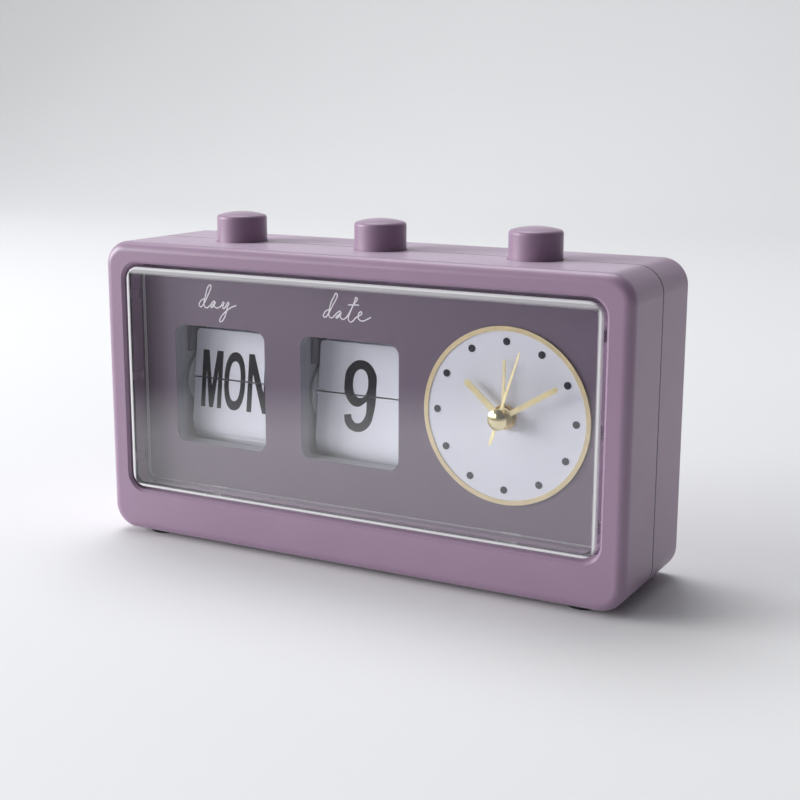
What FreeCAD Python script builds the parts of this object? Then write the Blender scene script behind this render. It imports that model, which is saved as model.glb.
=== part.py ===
import FreeCAD, Part
import math
import os

# Desk clock with a flip calendar.
# x runs to the right, y is the depth behind the front face and z is the height above the
# underside of the case. save() moves every piece into the part's frame, whose origin is the
# middle of the footprint on the surface that the rubber feet stand on. All lengths are mm.

os.makedirs("parts", exist_ok=True)
Vec = FreeCAD.Vector
ORIGIN = Vec(0, 0, 0)
X = Vec(1, 0, 0)
Y = Vec(0, 1, 0)
Z = Vec(0, 0, 1)

# ---- clearances -------------------------------------------------------------------------
running_fit = 0.05          # radial, shaft in a bore
sliding_fit = 0.08          # radial, button stem in its guide
loose_gap = 0.3             # between a moving piece and what it passes
seam_gap = 0.3              # visible line between the two housing shells

# ---- case -------------------------------------------------------------------------------
case_width = 180.0
case_height = 95.5
case_depth = 48.0
case_corner = 8.0           # outline radius seen from the front
case_wall = 2.2
front_fillet = 3.0
back_fillet = 2.5
lip_thickness = 1.0
lip_length = 2.0
foot_height = 1.5
foot_radius = 5.0
foot_inset_x = 15.0
foot_inset_y = 9.0

# ---- front opening and lens -------------------------------------------------------------
bezel_side = 7.6            # frontal width of the case left and right of the opening
bezel_top = 6.7
opening_bottom = 14.0
opening_corner = 5.5
opening_chamfer = 0.8
rim_wall = 1.6              # wall that runs back from the opening to the fascia
lens_gap = 1.1
lens_recess = 0.2
lens_face = 1.3
lens_wall = 1.5
lens_edge_fillet = 0.5
clip_width = 6.0
clip_offset = 52.0          # snap clips left and right of the middle
clip_length = 1.2           # hook behind the fascia
clip_lip = 0.8
side_rib_spacing = 27.0
side_rib_width = 3.2

# ---- fascia -----------------------------------------------------------------------------
fascia_depth = 8.6          # front face of the panel
fascia_thickness = 1.6
fascia_lap = 1.4            # how far it laps the rim around the opening
fascia_ear_offset = 30.0
fascia_ear_width = 8.0
fascia_ear_drop = 7.0
window_side_gap = 0.4       # left and right of a leaf
window_end_gap = 3.25       # above and below the leaves
window_corner = 3.5
window_drop = 1.7           # window's middle below the dial's middle
window_flange = 1.0
window_flange_length = 1.8
window_sill_length = 4.4    # the lower edge of a window runs further back
boss_radius = 2.3
boss_length = 2.8

# ---- flap modules: one for the weekday, one for the date --------------------------------
leaf_count = {"day": 21, "date": 31}
axis_drop = 2.0             # drum axis below the dial's middle
wall_to_module = 15.15      # room left of the weekday module, inside the case
module_gap = 6.6            # between the two modules
module_to_movement = 4.95
swing_gap = 0.4             # between the lens and a leaf that falls
module_back_gap = 2.14      # between a module and the rear wall
pin_radius = 6.5            # circle of pin holes in the drum's side discs
disc_radius = 9.0
disc_thickness = 0.8
leaf_thickness = 0.16
leaf_corner = 1.5
leaf_split = 0.45           # gap between the upper and the lower leaf
leaf_lean = 7.0             # degrees: tops lean back, hanging ends lean forward
leaf_ear = 0.2
nub_radius = 0.35
hub_radius = 3.0
axle_radius = 1.0
plate_thickness = 1.2
ratchet_width = 2.0
ratchet_tooth = 0.6         # height above and below the working radius
blade_thickness = 0.8
blade_gap = 1.23            # between the date pawl's blade and the fascia
click_thickness = 0.3
click_foot = 5.0            # height of the click spring's riveted foot
click_drop = 11.0           # foot below the axis
guide_width = 1.0
guide_depth = 3.4

# ---- buttons ----------------------------------------------------------------------------
button_before_seam = 1.5
alarm_button_shift = 1.9    # right of the dial's middle
day_button_shift = -0.4     # from the middle of the weekday module
button_radius = 8.0
button_rise = 9.5
button_dome = 1.3
button_edge = 1.1
button_shell = 1.8
button_hole_gap = 0.3
button_flange = 1.4         # retaining collar under the top wall
stem_radius = 2.0
shelf_gap = 2.6             # between the movement and the shelf above it
shelf_thickness = 1.5
shelf_half_width = 12.0
shelf_reach = 7.5           # in front of the button's middle
shelf_rib_gap = 8.0         # between the spring and the rib behind it
arm_height = 2.2
arm_width = 2.0
arm_drop = 1.6              # gap between the shelf and the push arm
spring_wire = 0.3           # wire radius
spring_radius = 4.0
spring_turns = 5
wire_sides = 8              # the wire's round section is drawn as a polygon

# ---- dial and hands ---------------------------------------------------------------------
dial_radius = 24.9
dial_thickness = 0.4
ring_width = 1.4
ring_thickness = 0.6
dot_inset = 3.0             # middle of a dot inside the dial's edge
dot_radius = 1.1
dot_thickness = 0.1
dot_count = 12
bush_lip = 3.6
bush_radius = 3.0
hand_pitch = 1.15           # depth from one hand to the next
hand_thickness = 0.3
hand_hub = 0.9              # ring of each hand around its tube
tube_wall = 0.5
arbor_radius = 0.5
cap_radius = 3.0
cap_base = 0.4
cap_dome = 0.8
hour_hand = {"length": 15.3, "tail": 0.0, "root": 1.9, "tip": 1.9, "angle": 311.0}
minute_hand = {"length": 20.5, "tail": 0.0, "root": 1.6, "tip": 1.6, "angle": 59.0}
second_hand = {"length": 21.0, "tail": 7.5, "root": 0.9, "tip": 0.5, "angle": 17.7}
alarm_hand = {"length": 17.0, "tail": 0.0, "root": 1.0, "tip": 0.9, "angle": 0.6}

# ---- movement ---------------------------------------------------------------------------
movement_size = 56.0
movement_to_wall = 10.1     # room right of the movement, inside the case
movement_corner = 3.0
movement_wall = 1.5
movement_depth = 18.8
wheel_thickness = 1.2
level_pitch = 2.0           # depth from one gear level to the next
train_module = 0.36
motion_module = 0.5
wheel_post = 0.7
shaft_radius = 1.0
shaft_socket = 0.6          # front wall left behind the sockets of the setting shafts
alarm_direction = -75.0     # degrees, where the alarm setting shaft lies
time_direction = -120.0     # degrees, the time setting shaft seen from the motion wheel
fifth_direction = 100.0
rotor_magnet = 3.0
buzzer_radius = 7.5
buzzer_shift = (-16.0, 12.0)    # from the movement's middle
plunger_radius = 1.5
plunger_reserve = 0.15      # travel left in the plunger when the button is down
board_post_x = (-18.0, 22.0)
coil_shift = (13.0, 3.8)    # coil's middle right of and above the rotor
coil_half = 6.6
core_half = 9.4

# ---- back: knobs, battery, screws -------------------------------------------------------
recess_depth = 6.0
recess_margin = 3.0
knob_radius = 6.5
knob_height = 4.6
knob_flutes = 18
battery_length = 50.5
battery_radius = 7.1
battery_wall = 1.2
contact_thickness = 0.4
door_thickness = 1.6
door_lap = 1.5
door_gap = 0.15
door_hook = 1.4
hook_inset = 8.0            # from the end of the bay to the middle of a hook
screw_radius = 1.1
screw_head = 2.5
screw_head_height = 1.8
screw_grip = 9.0
screw_engagement = 8.0
front_boss_radius = 3.3
rear_boss_radius = 4.0
case_boss_inset = 5.4
panel_screw_radius = 0.8
panel_screw_head = 1.7
sound_slot = 1.4
sound_slot_pitch = 6.0
sound_slot_rise = (12.0, 22.0)
bay_rise = 4.6              # battery bay above the bottom wall
battery_end_room = 0.5
battery_side_room = 0.5
bay_front_room = 0.2        # added in front of the battery
neck_reach = (4.0, 1.0)     # contact neck in front of the battery's axis

# ---- what follows from the sizes above --------------------------------------------------
seam_depth = case_depth / 2
opening_width = case_width - 2 * bezel_side
opening_height = case_height - opening_bottom - bezel_top
opening_z = opening_bottom + opening_height / 2
fascia_back = fascia_depth + fascia_thickness
lens_width = opening_width - 2 * lens_gap
lens_height = opening_height - 2 * lens_gap
lens_inside = lens_recess + lens_face

# A leaf is as tall as the case's depth lets it be: it falls between the lens and the drum, and
# the leaves turn around the drum in front of the rear wall.
turning_room = (case_depth - case_wall - module_back_gap - plate_thickness - 2 * loose_gap
                - lens_inside - swing_gap - pin_radius)
leaf_half_height = (turning_room ** 2 - pin_radius ** 2) / (2 * turning_room)
axis_depth = lens_inside + swing_gap + pin_radius + leaf_half_height

# A leaf is as wide as the case's width lets it be: two modules and the movement stand side by
# side.
module_extra = 2 * (leaf_ear + 0.15 + disc_thickness + loose_gap + plate_thickness)
ratchet_extra = loose_gap + ratchet_width
leaf_width = (case_width - 2 * case_wall - movement_to_wall - movement_size - module_to_movement
              - module_gap - wall_to_module) / 2 - module_extra - ratchet_extra

step = {name: 360.0 / count for name, count in leaf_count.items()}
date_ratchet_radius = (axis_depth - fascia_back - blade_gap - blade_thickness - loose_gap
                       - ratchet_tooth)
button_travel = 2 * date_ratchet_radius * math.sin(math.radians(step["date"] / 2))
ratchet_radius = {name: button_travel / (2 * math.sin(math.radians(angle / 2)))
                  for name, angle in step.items()}
disc_inside = leaf_width / 2 + leaf_ear + 0.15
disc_outside = disc_inside + disc_thickness
plate_inside = disc_outside + loose_gap
plate_outside = plate_inside + plate_thickness
ratchet_inside = plate_outside + loose_gap
ratchet_outside = ratchet_inside + ratchet_width
dial_x = case_width / 2 - case_wall - movement_to_wall - movement_size / 2
dial_z = opening_z
date_x = dial_x - movement_size / 2 - module_to_movement - plate_outside
module_x = {"day": date_x - ratchet_outside - module_gap - plate_outside, "date": date_x}
window_width = leaf_width + 2 * window_side_gap
window_height = 2 * (leaf_half_height + window_end_gap)
window_middle_z = dial_z - window_drop
axis_z = dial_z - axis_drop
button_x = {"day": module_x["day"] + day_button_shift, "date": 0.0,
            "alarm": dial_x + alarm_button_shift}
button_depth = seam_depth - button_before_seam
frame_front = fascia_back + boss_length
fan_radius = math.hypot(pin_radius, leaf_half_height)
frame_back_inside = axis_depth + fan_radius + 2 * loose_gap
frame_top_inside = axis_z + fan_radius + 3.0
frame_bottom_inside = axis_z - pin_radius - leaf_half_height - loose_gap
case_top_inside = case_height - case_wall
shelf_bottom_z = dial_z + movement_size / 2 + shelf_gap
shelf_top_z = shelf_bottom_z + shelf_thickness
plunger_rise = button_travel + plunger_reserve
movement_front = fascia_back
movement_back = movement_front + movement_depth
movement_cover_front = movement_back - movement_wall
first_level = movement_front + movement_wall + 0.5
dial_front = fascia_depth - dial_thickness
dot_circle = dial_radius - dot_inset
bush_front = dial_front - 1.2
alarm_level = bush_front - 0.4
minute_tube = arbor_radius + running_fit + tube_wall
hour_tube = minute_tube + running_fit + tube_wall
alarm_tube = hour_tube + running_fit + tube_wall


# ---- helpers ----------------------------------------------------------------------------
def block(x0, x1, y0, y1, z0, z1):
    return Part.makeBox(x1 - x0, y1 - y0, z1 - z0, Vec(x0, y0, z0))


def rod(base, axis, length, radius):
    return Part.makeCylinder(radius, length, base, axis)


def tube(base, axis, length, outer, inner):
    return rod(base, axis, length, outer).cut(rod(base, axis, length, inner))


def merged(shapes):
    """One solid from pieces that touch or overlap."""
    first, rest = shapes[0], shapes[1:]
    return first.fuse(rest).removeSplitter() if rest else first


def edges_along(shape, axis):
    """Straight edges of a box that run along an axis."""
    found = []
    for edge in shape.Edges:
        run = edge.Vertexes[-1].Point - edge.Vertexes[0].Point
        if run.cross(axis).Length < 1e-6:
            found.append(edge)
    return found


def edges_at_depth(shape, depth):
    """Edges that lie in the plane y = depth."""
    return [edge for edge in shape.Edges
            if abs(edge.BoundBox.YMin - depth) < 1e-5 and abs(edge.BoundBox.YMax - depth) < 1e-5]


def rounded_prism(width, height, corner, x, z, y0, y1):
    """A rectangle with round corners seen from the front, between two depths."""
    solid = block(x - width / 2, x + width / 2, y0, y1, z - height / 2, z + height / 2)
    return solid.makeFillet(corner, edges_along(solid, Y))


def extruded(points, direction):
    """A closed polygon extruded along a direction."""
    return Part.Face(Part.makePolygon(points + points[:1])).extrude(direction)


def save(node, pieces):
    """Writes one node, moved into the part's frame."""
    solids = pieces if isinstance(pieces, list) else [pieces]
    shape = solids[0] if len(solids) == 1 else Part.makeCompound(solids)
    placed = shape.copy()
    placed.translate(Vec(0, -case_depth / 2, foot_height))
    placed.exportStep("parts/" + node + ".step")


# ---- case -------------------------------------------------------------------------------
def case_corners():
    """Places of the four case screws: x and z."""
    far_x = case_width / 2 - case_boss_inset
    return [(side * far_x, z) for side in (-1, 1)
            for z in (case_boss_inset, case_height - case_boss_inset)]


def case_body(y0, y1, shrink=0.0):
    return rounded_prism(case_width - 2 * shrink, case_height - 2 * shrink, case_corner - shrink,
                         0, case_height / 2, y0, y1)


def button_holes():
    length = case_wall * 4
    hole = button_radius + button_hole_gap
    return [rod(Vec(x, button_depth, case_height - length / 2), Z, length, hole)
            for x in button_x.values()]


def front_shell():
    back = seam_depth - seam_gap / 2
    shell = case_body(0, back)
    shell = shell.makeFillet(front_fillet, edges_at_depth(shell, 0))
    shell = shell.cut(case_body(case_wall, back + 1, case_wall))
    rim = rounded_prism(opening_width + 2 * rim_wall, opening_height + 2 * rim_wall,
                        opening_corner + rim_wall, 0, opening_z, case_wall / 2, fascia_depth)
    bosses = [rod(Vec(x, case_wall / 2, z), Y, back - case_wall / 2, front_boss_radius)
              for x, z in case_corners()]
    bosses = [boss.common(case_body(0, back, case_wall / 2)) for boss in bosses]
    ear_bosses = [rod(Vec(x, case_wall / 2, z), Y, fascia_depth - case_wall / 2, boss_radius + 0.5)
                  for x, z in fascia_screw_places()]
    shell = shell.fuse([rim] + bosses + ear_bosses)
    opening = rounded_prism(opening_width, opening_height, opening_corner, 0, opening_z,
                            -1, fascia_depth + 1)
    shell = shell.cut(opening)
    mouth = [edge for edge in edges_at_depth(shell, 0)
             if abs(edge.BoundBox.Center.x) <= opening_width / 2 + 0.01
             and abs(edge.BoundBox.Center.z - opening_z) <= opening_height / 2 + 0.01]
    shell = shell.makeChamfer(opening_chamfer, mouth)
    pilots = [rod(Vec(x, back - screw_engagement - 1, z), Y, screw_engagement + 2,
                  screw_radius + running_fit) for x, z in case_corners()]
    ear_pilots = [rod(Vec(x, fascia_depth - 4, z), Y, 5, panel_screw_radius + running_fit)
                  for x, z in fascia_screw_places()]
    return shell.cut(pilots + ear_pilots + button_holes())


def recess_box():
    """Edges of the recess for the two setting knobs: x0, x1, z0, z1."""
    reach = knob_radius + recess_margin
    xs = [time_shaft()[0], alarm_shaft()[0]]
    zs = [time_shaft()[1], alarm_shaft()[1]]
    return min(xs) - reach, max(xs) + reach, min(zs) - reach, max(zs) + reach


def battery_bay():
    """Edges of the battery bay inside its walls: x0, x1, y0, z0, z1."""
    half_length = battery_length / 2 + 2 * contact_thickness + battery_end_room
    height = 2 * (battery_radius + loose_gap)
    low = case_wall + bay_rise
    return (dial_x - half_length, dial_x + half_length,
            battery_axis_depth() - battery_radius - battery_side_room - bay_front_room,
            low, low + height)


def battery_axis_depth():
    return case_depth - door_thickness - battery_side_room - battery_radius


def battery_axis():
    x0, x1, y0, z0, z1 = battery_bay()
    return (x0 + x1) / 2, battery_axis_depth(), (z0 + z1) / 2


def hook_slots():
    """Notches that the battery door's hooks turn in."""
    x0, x1, y0, z0, z1 = battery_bay()
    floor = z0 - door_lap
    slots = []
    for x in (x0 + hook_inset, x1 - hook_inset):
        inner = block(x - 3.3, x + 3.3, case_depth - door_thickness - 1.6, case_depth - 0.9,
                      floor - door_hook - 0.3, floor + 0.01)
        notch = block(x - 3.3, x + 3.3, case_depth - door_thickness - 1.6,
                      case_depth - door_thickness, floor - 0.1, z0 + 0.1)
        slots += [inner, notch]
    return slots


def rear_shell():
    front = seam_depth + seam_gap / 2
    shell = case_body(front, case_depth)
    shell = shell.makeFillet(back_fillet, edges_at_depth(shell, case_depth))
    shell = shell.cut(case_body(front - 1, case_depth - case_wall, case_wall))
    lip_inside = case_wall + sliding_fit + lip_thickness
    hollow = case_body(0, case_depth, lip_inside)
    lip = case_body(seam_depth - lip_length, front + lip_length, case_wall + sliding_fit)
    lip_root = case_body(front, front + lip_length, case_wall / 2)
    boss_room = [rod(Vec(x, 0, z), Y, seam_depth, front_boss_radius + loose_gap)
                 for x, z in case_corners()]
    flange_room = [rod(Vec(x, button_depth, case_height - 2 * lip_inside), Z, 2 * lip_inside,
                       button_radius + button_flange + 2 * loose_gap)
                   for x in button_x.values()]
    lip = lip.cut([hollow] + boss_room + flange_room)
    lip_root = lip_root.cut([hollow] + flange_room)
    bosses = [rod(Vec(x, front, z), Y, case_depth - case_wall / 2 - front, rear_boss_radius)
              for x, z in case_corners()]
    bosses = [boss.common(case_body(front, case_depth, case_wall / 2)) for boss in bosses]
    bx0, bx1, by0, bz0, bz1 = battery_bay()
    bay = block(bx0 - battery_wall, bx1 + battery_wall, by0 - battery_wall, case_depth - 1,
                bz0 - battery_wall, bz1 + battery_wall)
    rx0, rx1, rz0, rz1 = recess_box()
    floor = case_depth - recess_depth
    well = block(rx0 - case_wall, rx1 + case_wall, floor - case_wall, case_depth - 1,
                 rz0 - case_wall, rz1 + case_wall)
    shell = shell.fuse([lip, lip_root, bay, well] + bosses + button_shelves())
    cuts = [block(bx0, bx1, by0, case_depth + 1, bz0, bz1),
            block(bx0 - door_lap, bx1 + door_lap, case_depth - door_thickness, case_depth + 1,
                  bz0 - door_lap, bz1 + door_lap),
            block(rx0, rx1, floor, case_depth + 1, rz0, rz1)]
    for x, z in (time_shaft(), alarm_shaft()):
        cuts.append(rod(Vec(x, floor - case_wall - 1, z), Y, case_wall + 2,
                        shaft_radius + 0.5 + running_fit))
    for x, z in case_corners():
        cuts.append(rod(Vec(x, front - 1, z), Y, case_depth, screw_radius + 2 * running_fit))
        cuts.append(rod(Vec(x, seam_depth + screw_grip, z), Y, case_depth, screw_head + 0.3))
    for x in contact_places():
        y0, y1 = contact_neck()
        cuts.append(block(x - contact_thickness, x + contact_thickness, y0 - loose_gap,
                          y1 + loose_gap, bz1 - 1, bz1 + battery_wall + 1))
    cuts += hook_slots() + sound_slots() + button_holes()
    return shell.cut(cuts)


def button_shelves():
    """Guides for the button stems, standing off the rear wall under the top."""
    shelves = []
    for x in button_x.values():
        shelf = block(x - shelf_half_width, x + shelf_half_width, button_depth - shelf_reach,
                      case_depth - case_wall / 2, shelf_bottom_z, shelf_top_z)
        rib = block(x - plate_thickness / 2, x + plate_thickness / 2,
                    button_depth + spring_radius + shelf_rib_gap, case_depth - case_wall / 2,
                    shelf_top_z, case_top_inside + case_wall / 2)
        hole = rod(Vec(x, button_depth, shelf_bottom_z - 1), Z, shelf_thickness + 2,
                   stem_radius + sliding_fit)
        shelves += [shelf.cut(hole), rib]
    return shelves


def sound_slots():
    """Openings in the rear wall that let the alarm out."""
    slots = []
    low, high = sound_slot_rise
    for index in range(-2, 3):
        x = dial_x + index * sound_slot_pitch
        slots.append(block(x - sound_slot / 2, x + sound_slot / 2, case_depth - case_wall - 1,
                           case_depth + 1, dial_z + low, dial_z + high))
    return slots


def rubber_feet():
    xs = (foot_inset_x - case_width / 2, case_width / 2 - foot_inset_x)
    ys = (foot_inset_y, case_depth - foot_inset_y)
    feet = []
    for x in xs:
        for y in ys:
            foot = rod(Vec(x, y, -foot_height), Z, foot_height, foot_radius)
            rim = [edge for edge in foot.Edges
                   if edge.BoundBox.ZMax < -foot_height + 0.01]
            feet.append(foot.makeFillet(foot_height / 4, rim))
    return feet


def machine_screw(place, length, radius, head, head_height, direction):
    """A pan-head screw with a cross recess. place is under its head."""
    shank = rod(place, direction, length - radius, radius)
    tip = Part.makeCone(radius, radius * 0.3, radius, place + direction * (length - radius),
                        direction)
    cap = rod(place - direction * head_height, direction, head_height, head)
    top = [edge for edge in cap.Edges
           if len(edge.Vertexes) == 1
           and abs((edge.BoundBox.Center - (place - direction * head_height)).Length) < 1e-3]
    cap = cap.makeFillet(head_height * 0.4, top)
    depth = head_height * 0.5
    slot = head * 0.18
    reach = head * 0.6
    y0, y1 = sorted((place.y - direction.y * (head_height + 1),
                     place.y - direction.y * (head_height - depth)))
    cross = [block(place.x - reach, place.x + reach, y0, y1, place.z - slot, place.z + slot),
             block(place.x - slot, place.x + slot, y0, y1, place.z - reach, place.z + reach)]
    return merged([shank, tip, cap]).cut(cross)


def case_screws():
    seat = seam_depth + screw_grip
    length = screw_grip - seam_gap / 2 + screw_engagement - 0.5
    return [machine_screw(Vec(x, seat, z), length, screw_radius, screw_head, screw_head_height, -Y)
            for x, z in case_corners()]


# ---- lens and fascia --------------------------------------------------------------------
def lens_clips(y0, y1, grow, lip):
    """The four snap clips of the lens, or the slots for them."""
    clips = []
    for x in (-clip_offset, clip_offset):
        half = clip_width / 2 + grow
        for side in (-1, 1):
            outer = opening_z + side * (lens_height / 2 + grow)
            inner = opening_z + side * (lens_height / 2 - lens_wall - grow)
            z0, z1 = sorted((inner, outer))
            clips.append(block(x - half, x + half, y0, y1, z0, z1))
            if lip:
                z0, z1 = sorted((outer, outer + side * clip_lip))
                clips.append(block(x - half, x + half, y1 - clip_length, y1, z0, z1))
    return clips


def lens_cover():
    tray = rounded_prism(lens_width, lens_height, opening_corner - lens_gap, 0, opening_z,
                         lens_recess, fascia_depth)
    tray = tray.makeFillet(lens_edge_fillet, edges_at_depth(tray, lens_recess))
    hollow = rounded_prism(lens_width - 2 * lens_wall, lens_height - 2 * lens_wall,
                           opening_corner - lens_gap - lens_wall, 0, opening_z,
                           lens_inside, fascia_depth + 1)
    tray = tray.cut(hollow)
    hooks = lens_clips(fascia_depth - 2.2, fascia_back + 0.1 + clip_length, 0.0, True)
    ribs = []
    for side in (-1, 1):
        for shift in (-side_rib_spacing, 0, side_rib_spacing):
            x0, x1 = sorted((side * (lens_width / 2 - 0.2), side * (lens_width / 2 + lens_gap - 0.35)))
            ribs.append(block(x0, x1, lens_recess + 1.2, fascia_depth - 2.0,
                              opening_z + shift - side_rib_width / 2,
                              opening_z + shift + side_rib_width / 2))
    return merged([tray] + hooks + ribs)


def fascia_screw_places():
    z = opening_bottom - fascia_lap - fascia_ear_drop / 2
    return [(side * fascia_ear_offset, z) for side in (-1, 1)]


def module_screw_places(x):
    """The four screws that hold a flap module to the fascia: x and z."""
    low = frame_bottom_inside - plate_thickness - 3.6
    high = frame_top_inside + plate_thickness + 3.6
    return [(x + side, z) for side in (-12, 12) for z in (low, high)]


def fascia_panel():
    panel = rounded_prism(opening_width + 2 * fascia_lap, opening_height + 2 * fascia_lap,
                          opening_corner + fascia_lap, 0, opening_z, fascia_depth, fascia_back)
    adds = []
    cuts = [rod(Vec(dial_x, fascia_depth - 1, dial_z), Y, fascia_thickness + 2,
                bush_radius + running_fit)]
    for x, z in fascia_screw_places():
        adds.append(block(x - fascia_ear_width / 2, x + fascia_ear_width / 2, fascia_depth,
                          fascia_back, z - fascia_ear_drop / 2 + 0.4, opening_bottom))
        cuts.append(rod(Vec(x, fascia_depth - 1, z), Y, fascia_thickness + 2,
                        panel_screw_radius + 0.2))
    window_bottom = window_middle_z - window_height / 2
    for x in module_x.values():
        adds.append(rounded_prism(window_width + 2 * window_flange,
                                  window_height + 2 * window_flange,
                                  window_corner + window_flange, x, window_middle_z,
                                  fascia_depth + 0.5, fascia_back + window_flange_length))
        adds.append(block(x - window_width / 2, x + window_width / 2, fascia_back,
                          fascia_back + window_sill_length, window_bottom - window_flange,
                          window_bottom))
        cuts.append(rounded_prism(window_width, window_height, window_corner, x,
                                  window_middle_z, fascia_depth - 1,
                                  fascia_back + window_sill_length + 1))
        for sx, sz in module_screw_places(x):
            adds.append(rod(Vec(sx, fascia_back - 0.5, sz), Y, boss_length + 0.5, boss_radius))
            cuts.append(rod(Vec(sx, fascia_back - 0.4, sz), Y, boss_length + 1,
                            panel_screw_radius + running_fit))
    panel = panel.fuse(adds).cut(cuts)
    return panel.cut(lens_clips(fascia_depth - 1, fascia_back + 1, 0.15, False))


def panel_screws():
    """Small screws of the fascia and of the two flap modules."""
    screws = [machine_screw(Vec(x, fascia_back, z), 4.4, panel_screw_radius, panel_screw_head,
                            1.1, -Y) for x, z in fascia_screw_places()]
    seat = frame_front + plate_thickness
    for x in module_x.values():
        screws += [machine_screw(Vec(sx, seat, sz), plate_thickness + boss_length - 0.2,
                                 panel_screw_radius, panel_screw_head, 1.1, -Y)
                   for sx, sz in module_screw_places(x)]
    return screws


# ---- flap modules -----------------------------------------------------------------------
def rim_point(x, radius, degrees):
    """A point around a drum's axis. Zero degrees is its front, 90 its top."""
    turn = math.radians(degrees)
    return Vec(x, axis_depth - radius * math.cos(turn), axis_z + radius * math.sin(turn))


def pin_degrees(name, index):
    """Direction of a pin around the drum. Pin 0 carries the upper leaf in view."""
    return (index + 0.5) * step[name] + leaf_lean


def flap_leaf(name):
    """One calendar leaf standing on its pin at the origin."""
    lift = pin_radius * math.sin(math.radians(step[name] / 2))
    half = leaf_width / 2
    heel = lift - leaf_split / 2
    reach = leaf_half_height - lift
    plate = block(-half, half, -leaf_thickness / 2, leaf_thickness / 2, -heel, reach)
    outer = [edge for edge in edges_along(plate, Y) if edge.BoundBox.ZMin > 0]
    plate = plate.makeFillet(leaf_corner, outer)
    ear = block(-half - leaf_ear, half + leaf_ear, -leaf_thickness / 2, leaf_thickness / 2,
                -min(heel, nub_radius), nub_radius)
    nubs = [rod(Vec(side * (half + leaf_ear), 0, 0), X * side,
                disc_outside - 0.05 - half - leaf_ear, nub_radius) for side in (-1, 1)]
    return merged([plate, ear] + nubs)


def placed_leaf(name, index, turn):
    """A leaf on its pin, turned back by a number of degrees from the leaf in view."""
    leaf = flap_leaf(name)
    leaf.rotate(ORIGIN, X, -turn - leaf_lean)
    leaf.translate(rim_point(module_x[name], pin_radius, pin_degrees(name, index)))
    return leaf


def flap(name):
    """The upper leaf in view, which falls when the button is pressed."""
    return placed_leaf(name, 0, 0)


def leaves(name):
    """Every other leaf: those that wait behind the upper one and those that hang below."""
    upper = [placed_leaf(name, index, index * step[name])
             for index in range(1, int(180 / step[name] + 0.5))]
    hanging = leaf_count[name] - 1 - len(upper)
    lower = [placed_leaf(name, -1 - index, 180) for index in range(hanging)]
    return upper + lower


def drum(name):
    """Hub, two side discs with a ring of pin holes, and a collar for the ratchet."""
    x = module_x[name]
    axis = Vec(x - disc_inside, axis_depth, axis_z)
    body = [rod(axis, X, 2 * disc_inside, hub_radius)]
    for side in (-1, 1):
        start = Vec(x + side * disc_inside, axis_depth, axis_z)
        disc = rod(start, X * side, disc_thickness, disc_radius)
        holes = [rod(rim_point(x + side * (disc_inside - 1), pin_radius, pin_degrees(name, index)),
                     X * side, disc_thickness + 2, nub_radius + running_fit)
                 for index in range(leaf_count[name])]
        body.append(disc.cut(holes))
    collar = rod(Vec(x - disc_outside, axis_depth, axis_z), -X, ratchet_outside - disc_outside,
                 hub_radius)
    bore = rod(Vec(x - ratchet_outside - 1, axis_depth, axis_z), X,
               2 * ratchet_outside + 2, axle_radius + running_fit)
    return merged(body + [collar]).cut(bore)


def ratchet(name):
    """A saw-toothed wheel with one tooth for each leaf."""
    x = module_x[name] - ratchet_outside
    tip = ratchet_radius[name] + ratchet_tooth
    root = ratchet_radius[name] - ratchet_tooth
    points = []
    for index in range(leaf_count[name], 0, -1):
        degrees = (index + 0.5) * step[name]
        points.append(rim_point(x, root, degrees))
        points.append(rim_point(x, tip, degrees))
    wheel = extruded(points, X * ratchet_width)
    return wheel.cut(rod(Vec(x - 1, axis_depth, axis_z), X, ratchet_width + 2, hub_radius))


def axle(name):
    """A headed steel pin that the drum turns on."""
    x = module_x[name]
    start = x - ratchet_outside - 0.1
    pin = rod(Vec(start, axis_depth, axis_z), X, x + plate_outside + 0.6 - start, axle_radius)
    head = rod(Vec(start, axis_depth, axis_z), -X, 0.8, hub_radius - 0.6)
    return merged([pin, head])


def module_frame(name):
    """The bracket behind a window: side plates, floor, roof and back, with screw flanges."""
    x = module_x[name]
    back = frame_back_inside + plate_thickness
    top = frame_top_inside + plate_thickness
    bottom = frame_bottom_inside - plate_thickness
    left, right = x - plate_outside, x + plate_outside
    flange = 2 * 3.6
    plates = [block(left, x - plate_inside, frame_front, back, bottom, top),
              block(x + plate_inside, right, frame_front, back, bottom, top),
              block(left, right, frame_back_inside, back, bottom, top),
              block(left, right, frame_front, back, bottom, frame_bottom_inside),
              block(left, right, frame_front, back, frame_top_inside, top),
              block(left, right, frame_front, frame_front + plate_thickness, bottom - flange,
                    bottom + plate_thickness),
              block(left, right, frame_front, frame_front + plate_thickness,
                    top - plate_thickness, top + flange)]
    frame = merged(plates)
    cuts = [rod(Vec(left - 1, axis_depth, axis_z), X, plate_thickness + 2,
                hub_radius + running_fit),
            rod(Vec(right + 1, axis_depth, axis_z), -X, plate_thickness + 2,
                axle_radius + 0.01)]
    cuts += [rod(Vec(sx, frame_front - 1, sz), Y, plate_thickness + 2, panel_screw_radius + 0.2)
             for sx, sz in module_screw_places(x)]
    return frame.cut(cuts)


def leaf_guides():
    """Dark fins that keep the waiting leaves square, left and right of each window."""
    fins = []
    depth = axis_depth - pin_radius - guide_depth / 2
    for x in module_x.values():
        for side in (-1, 1):
            x0, x1 = sorted((x + side * (plate_inside - guide_width), x + side * plate_inside))
            fins.append(block(x0, x1, depth, depth + guide_depth,
                              axis_z + disc_radius + 0.4, frame_top_inside))
    return fins


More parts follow.
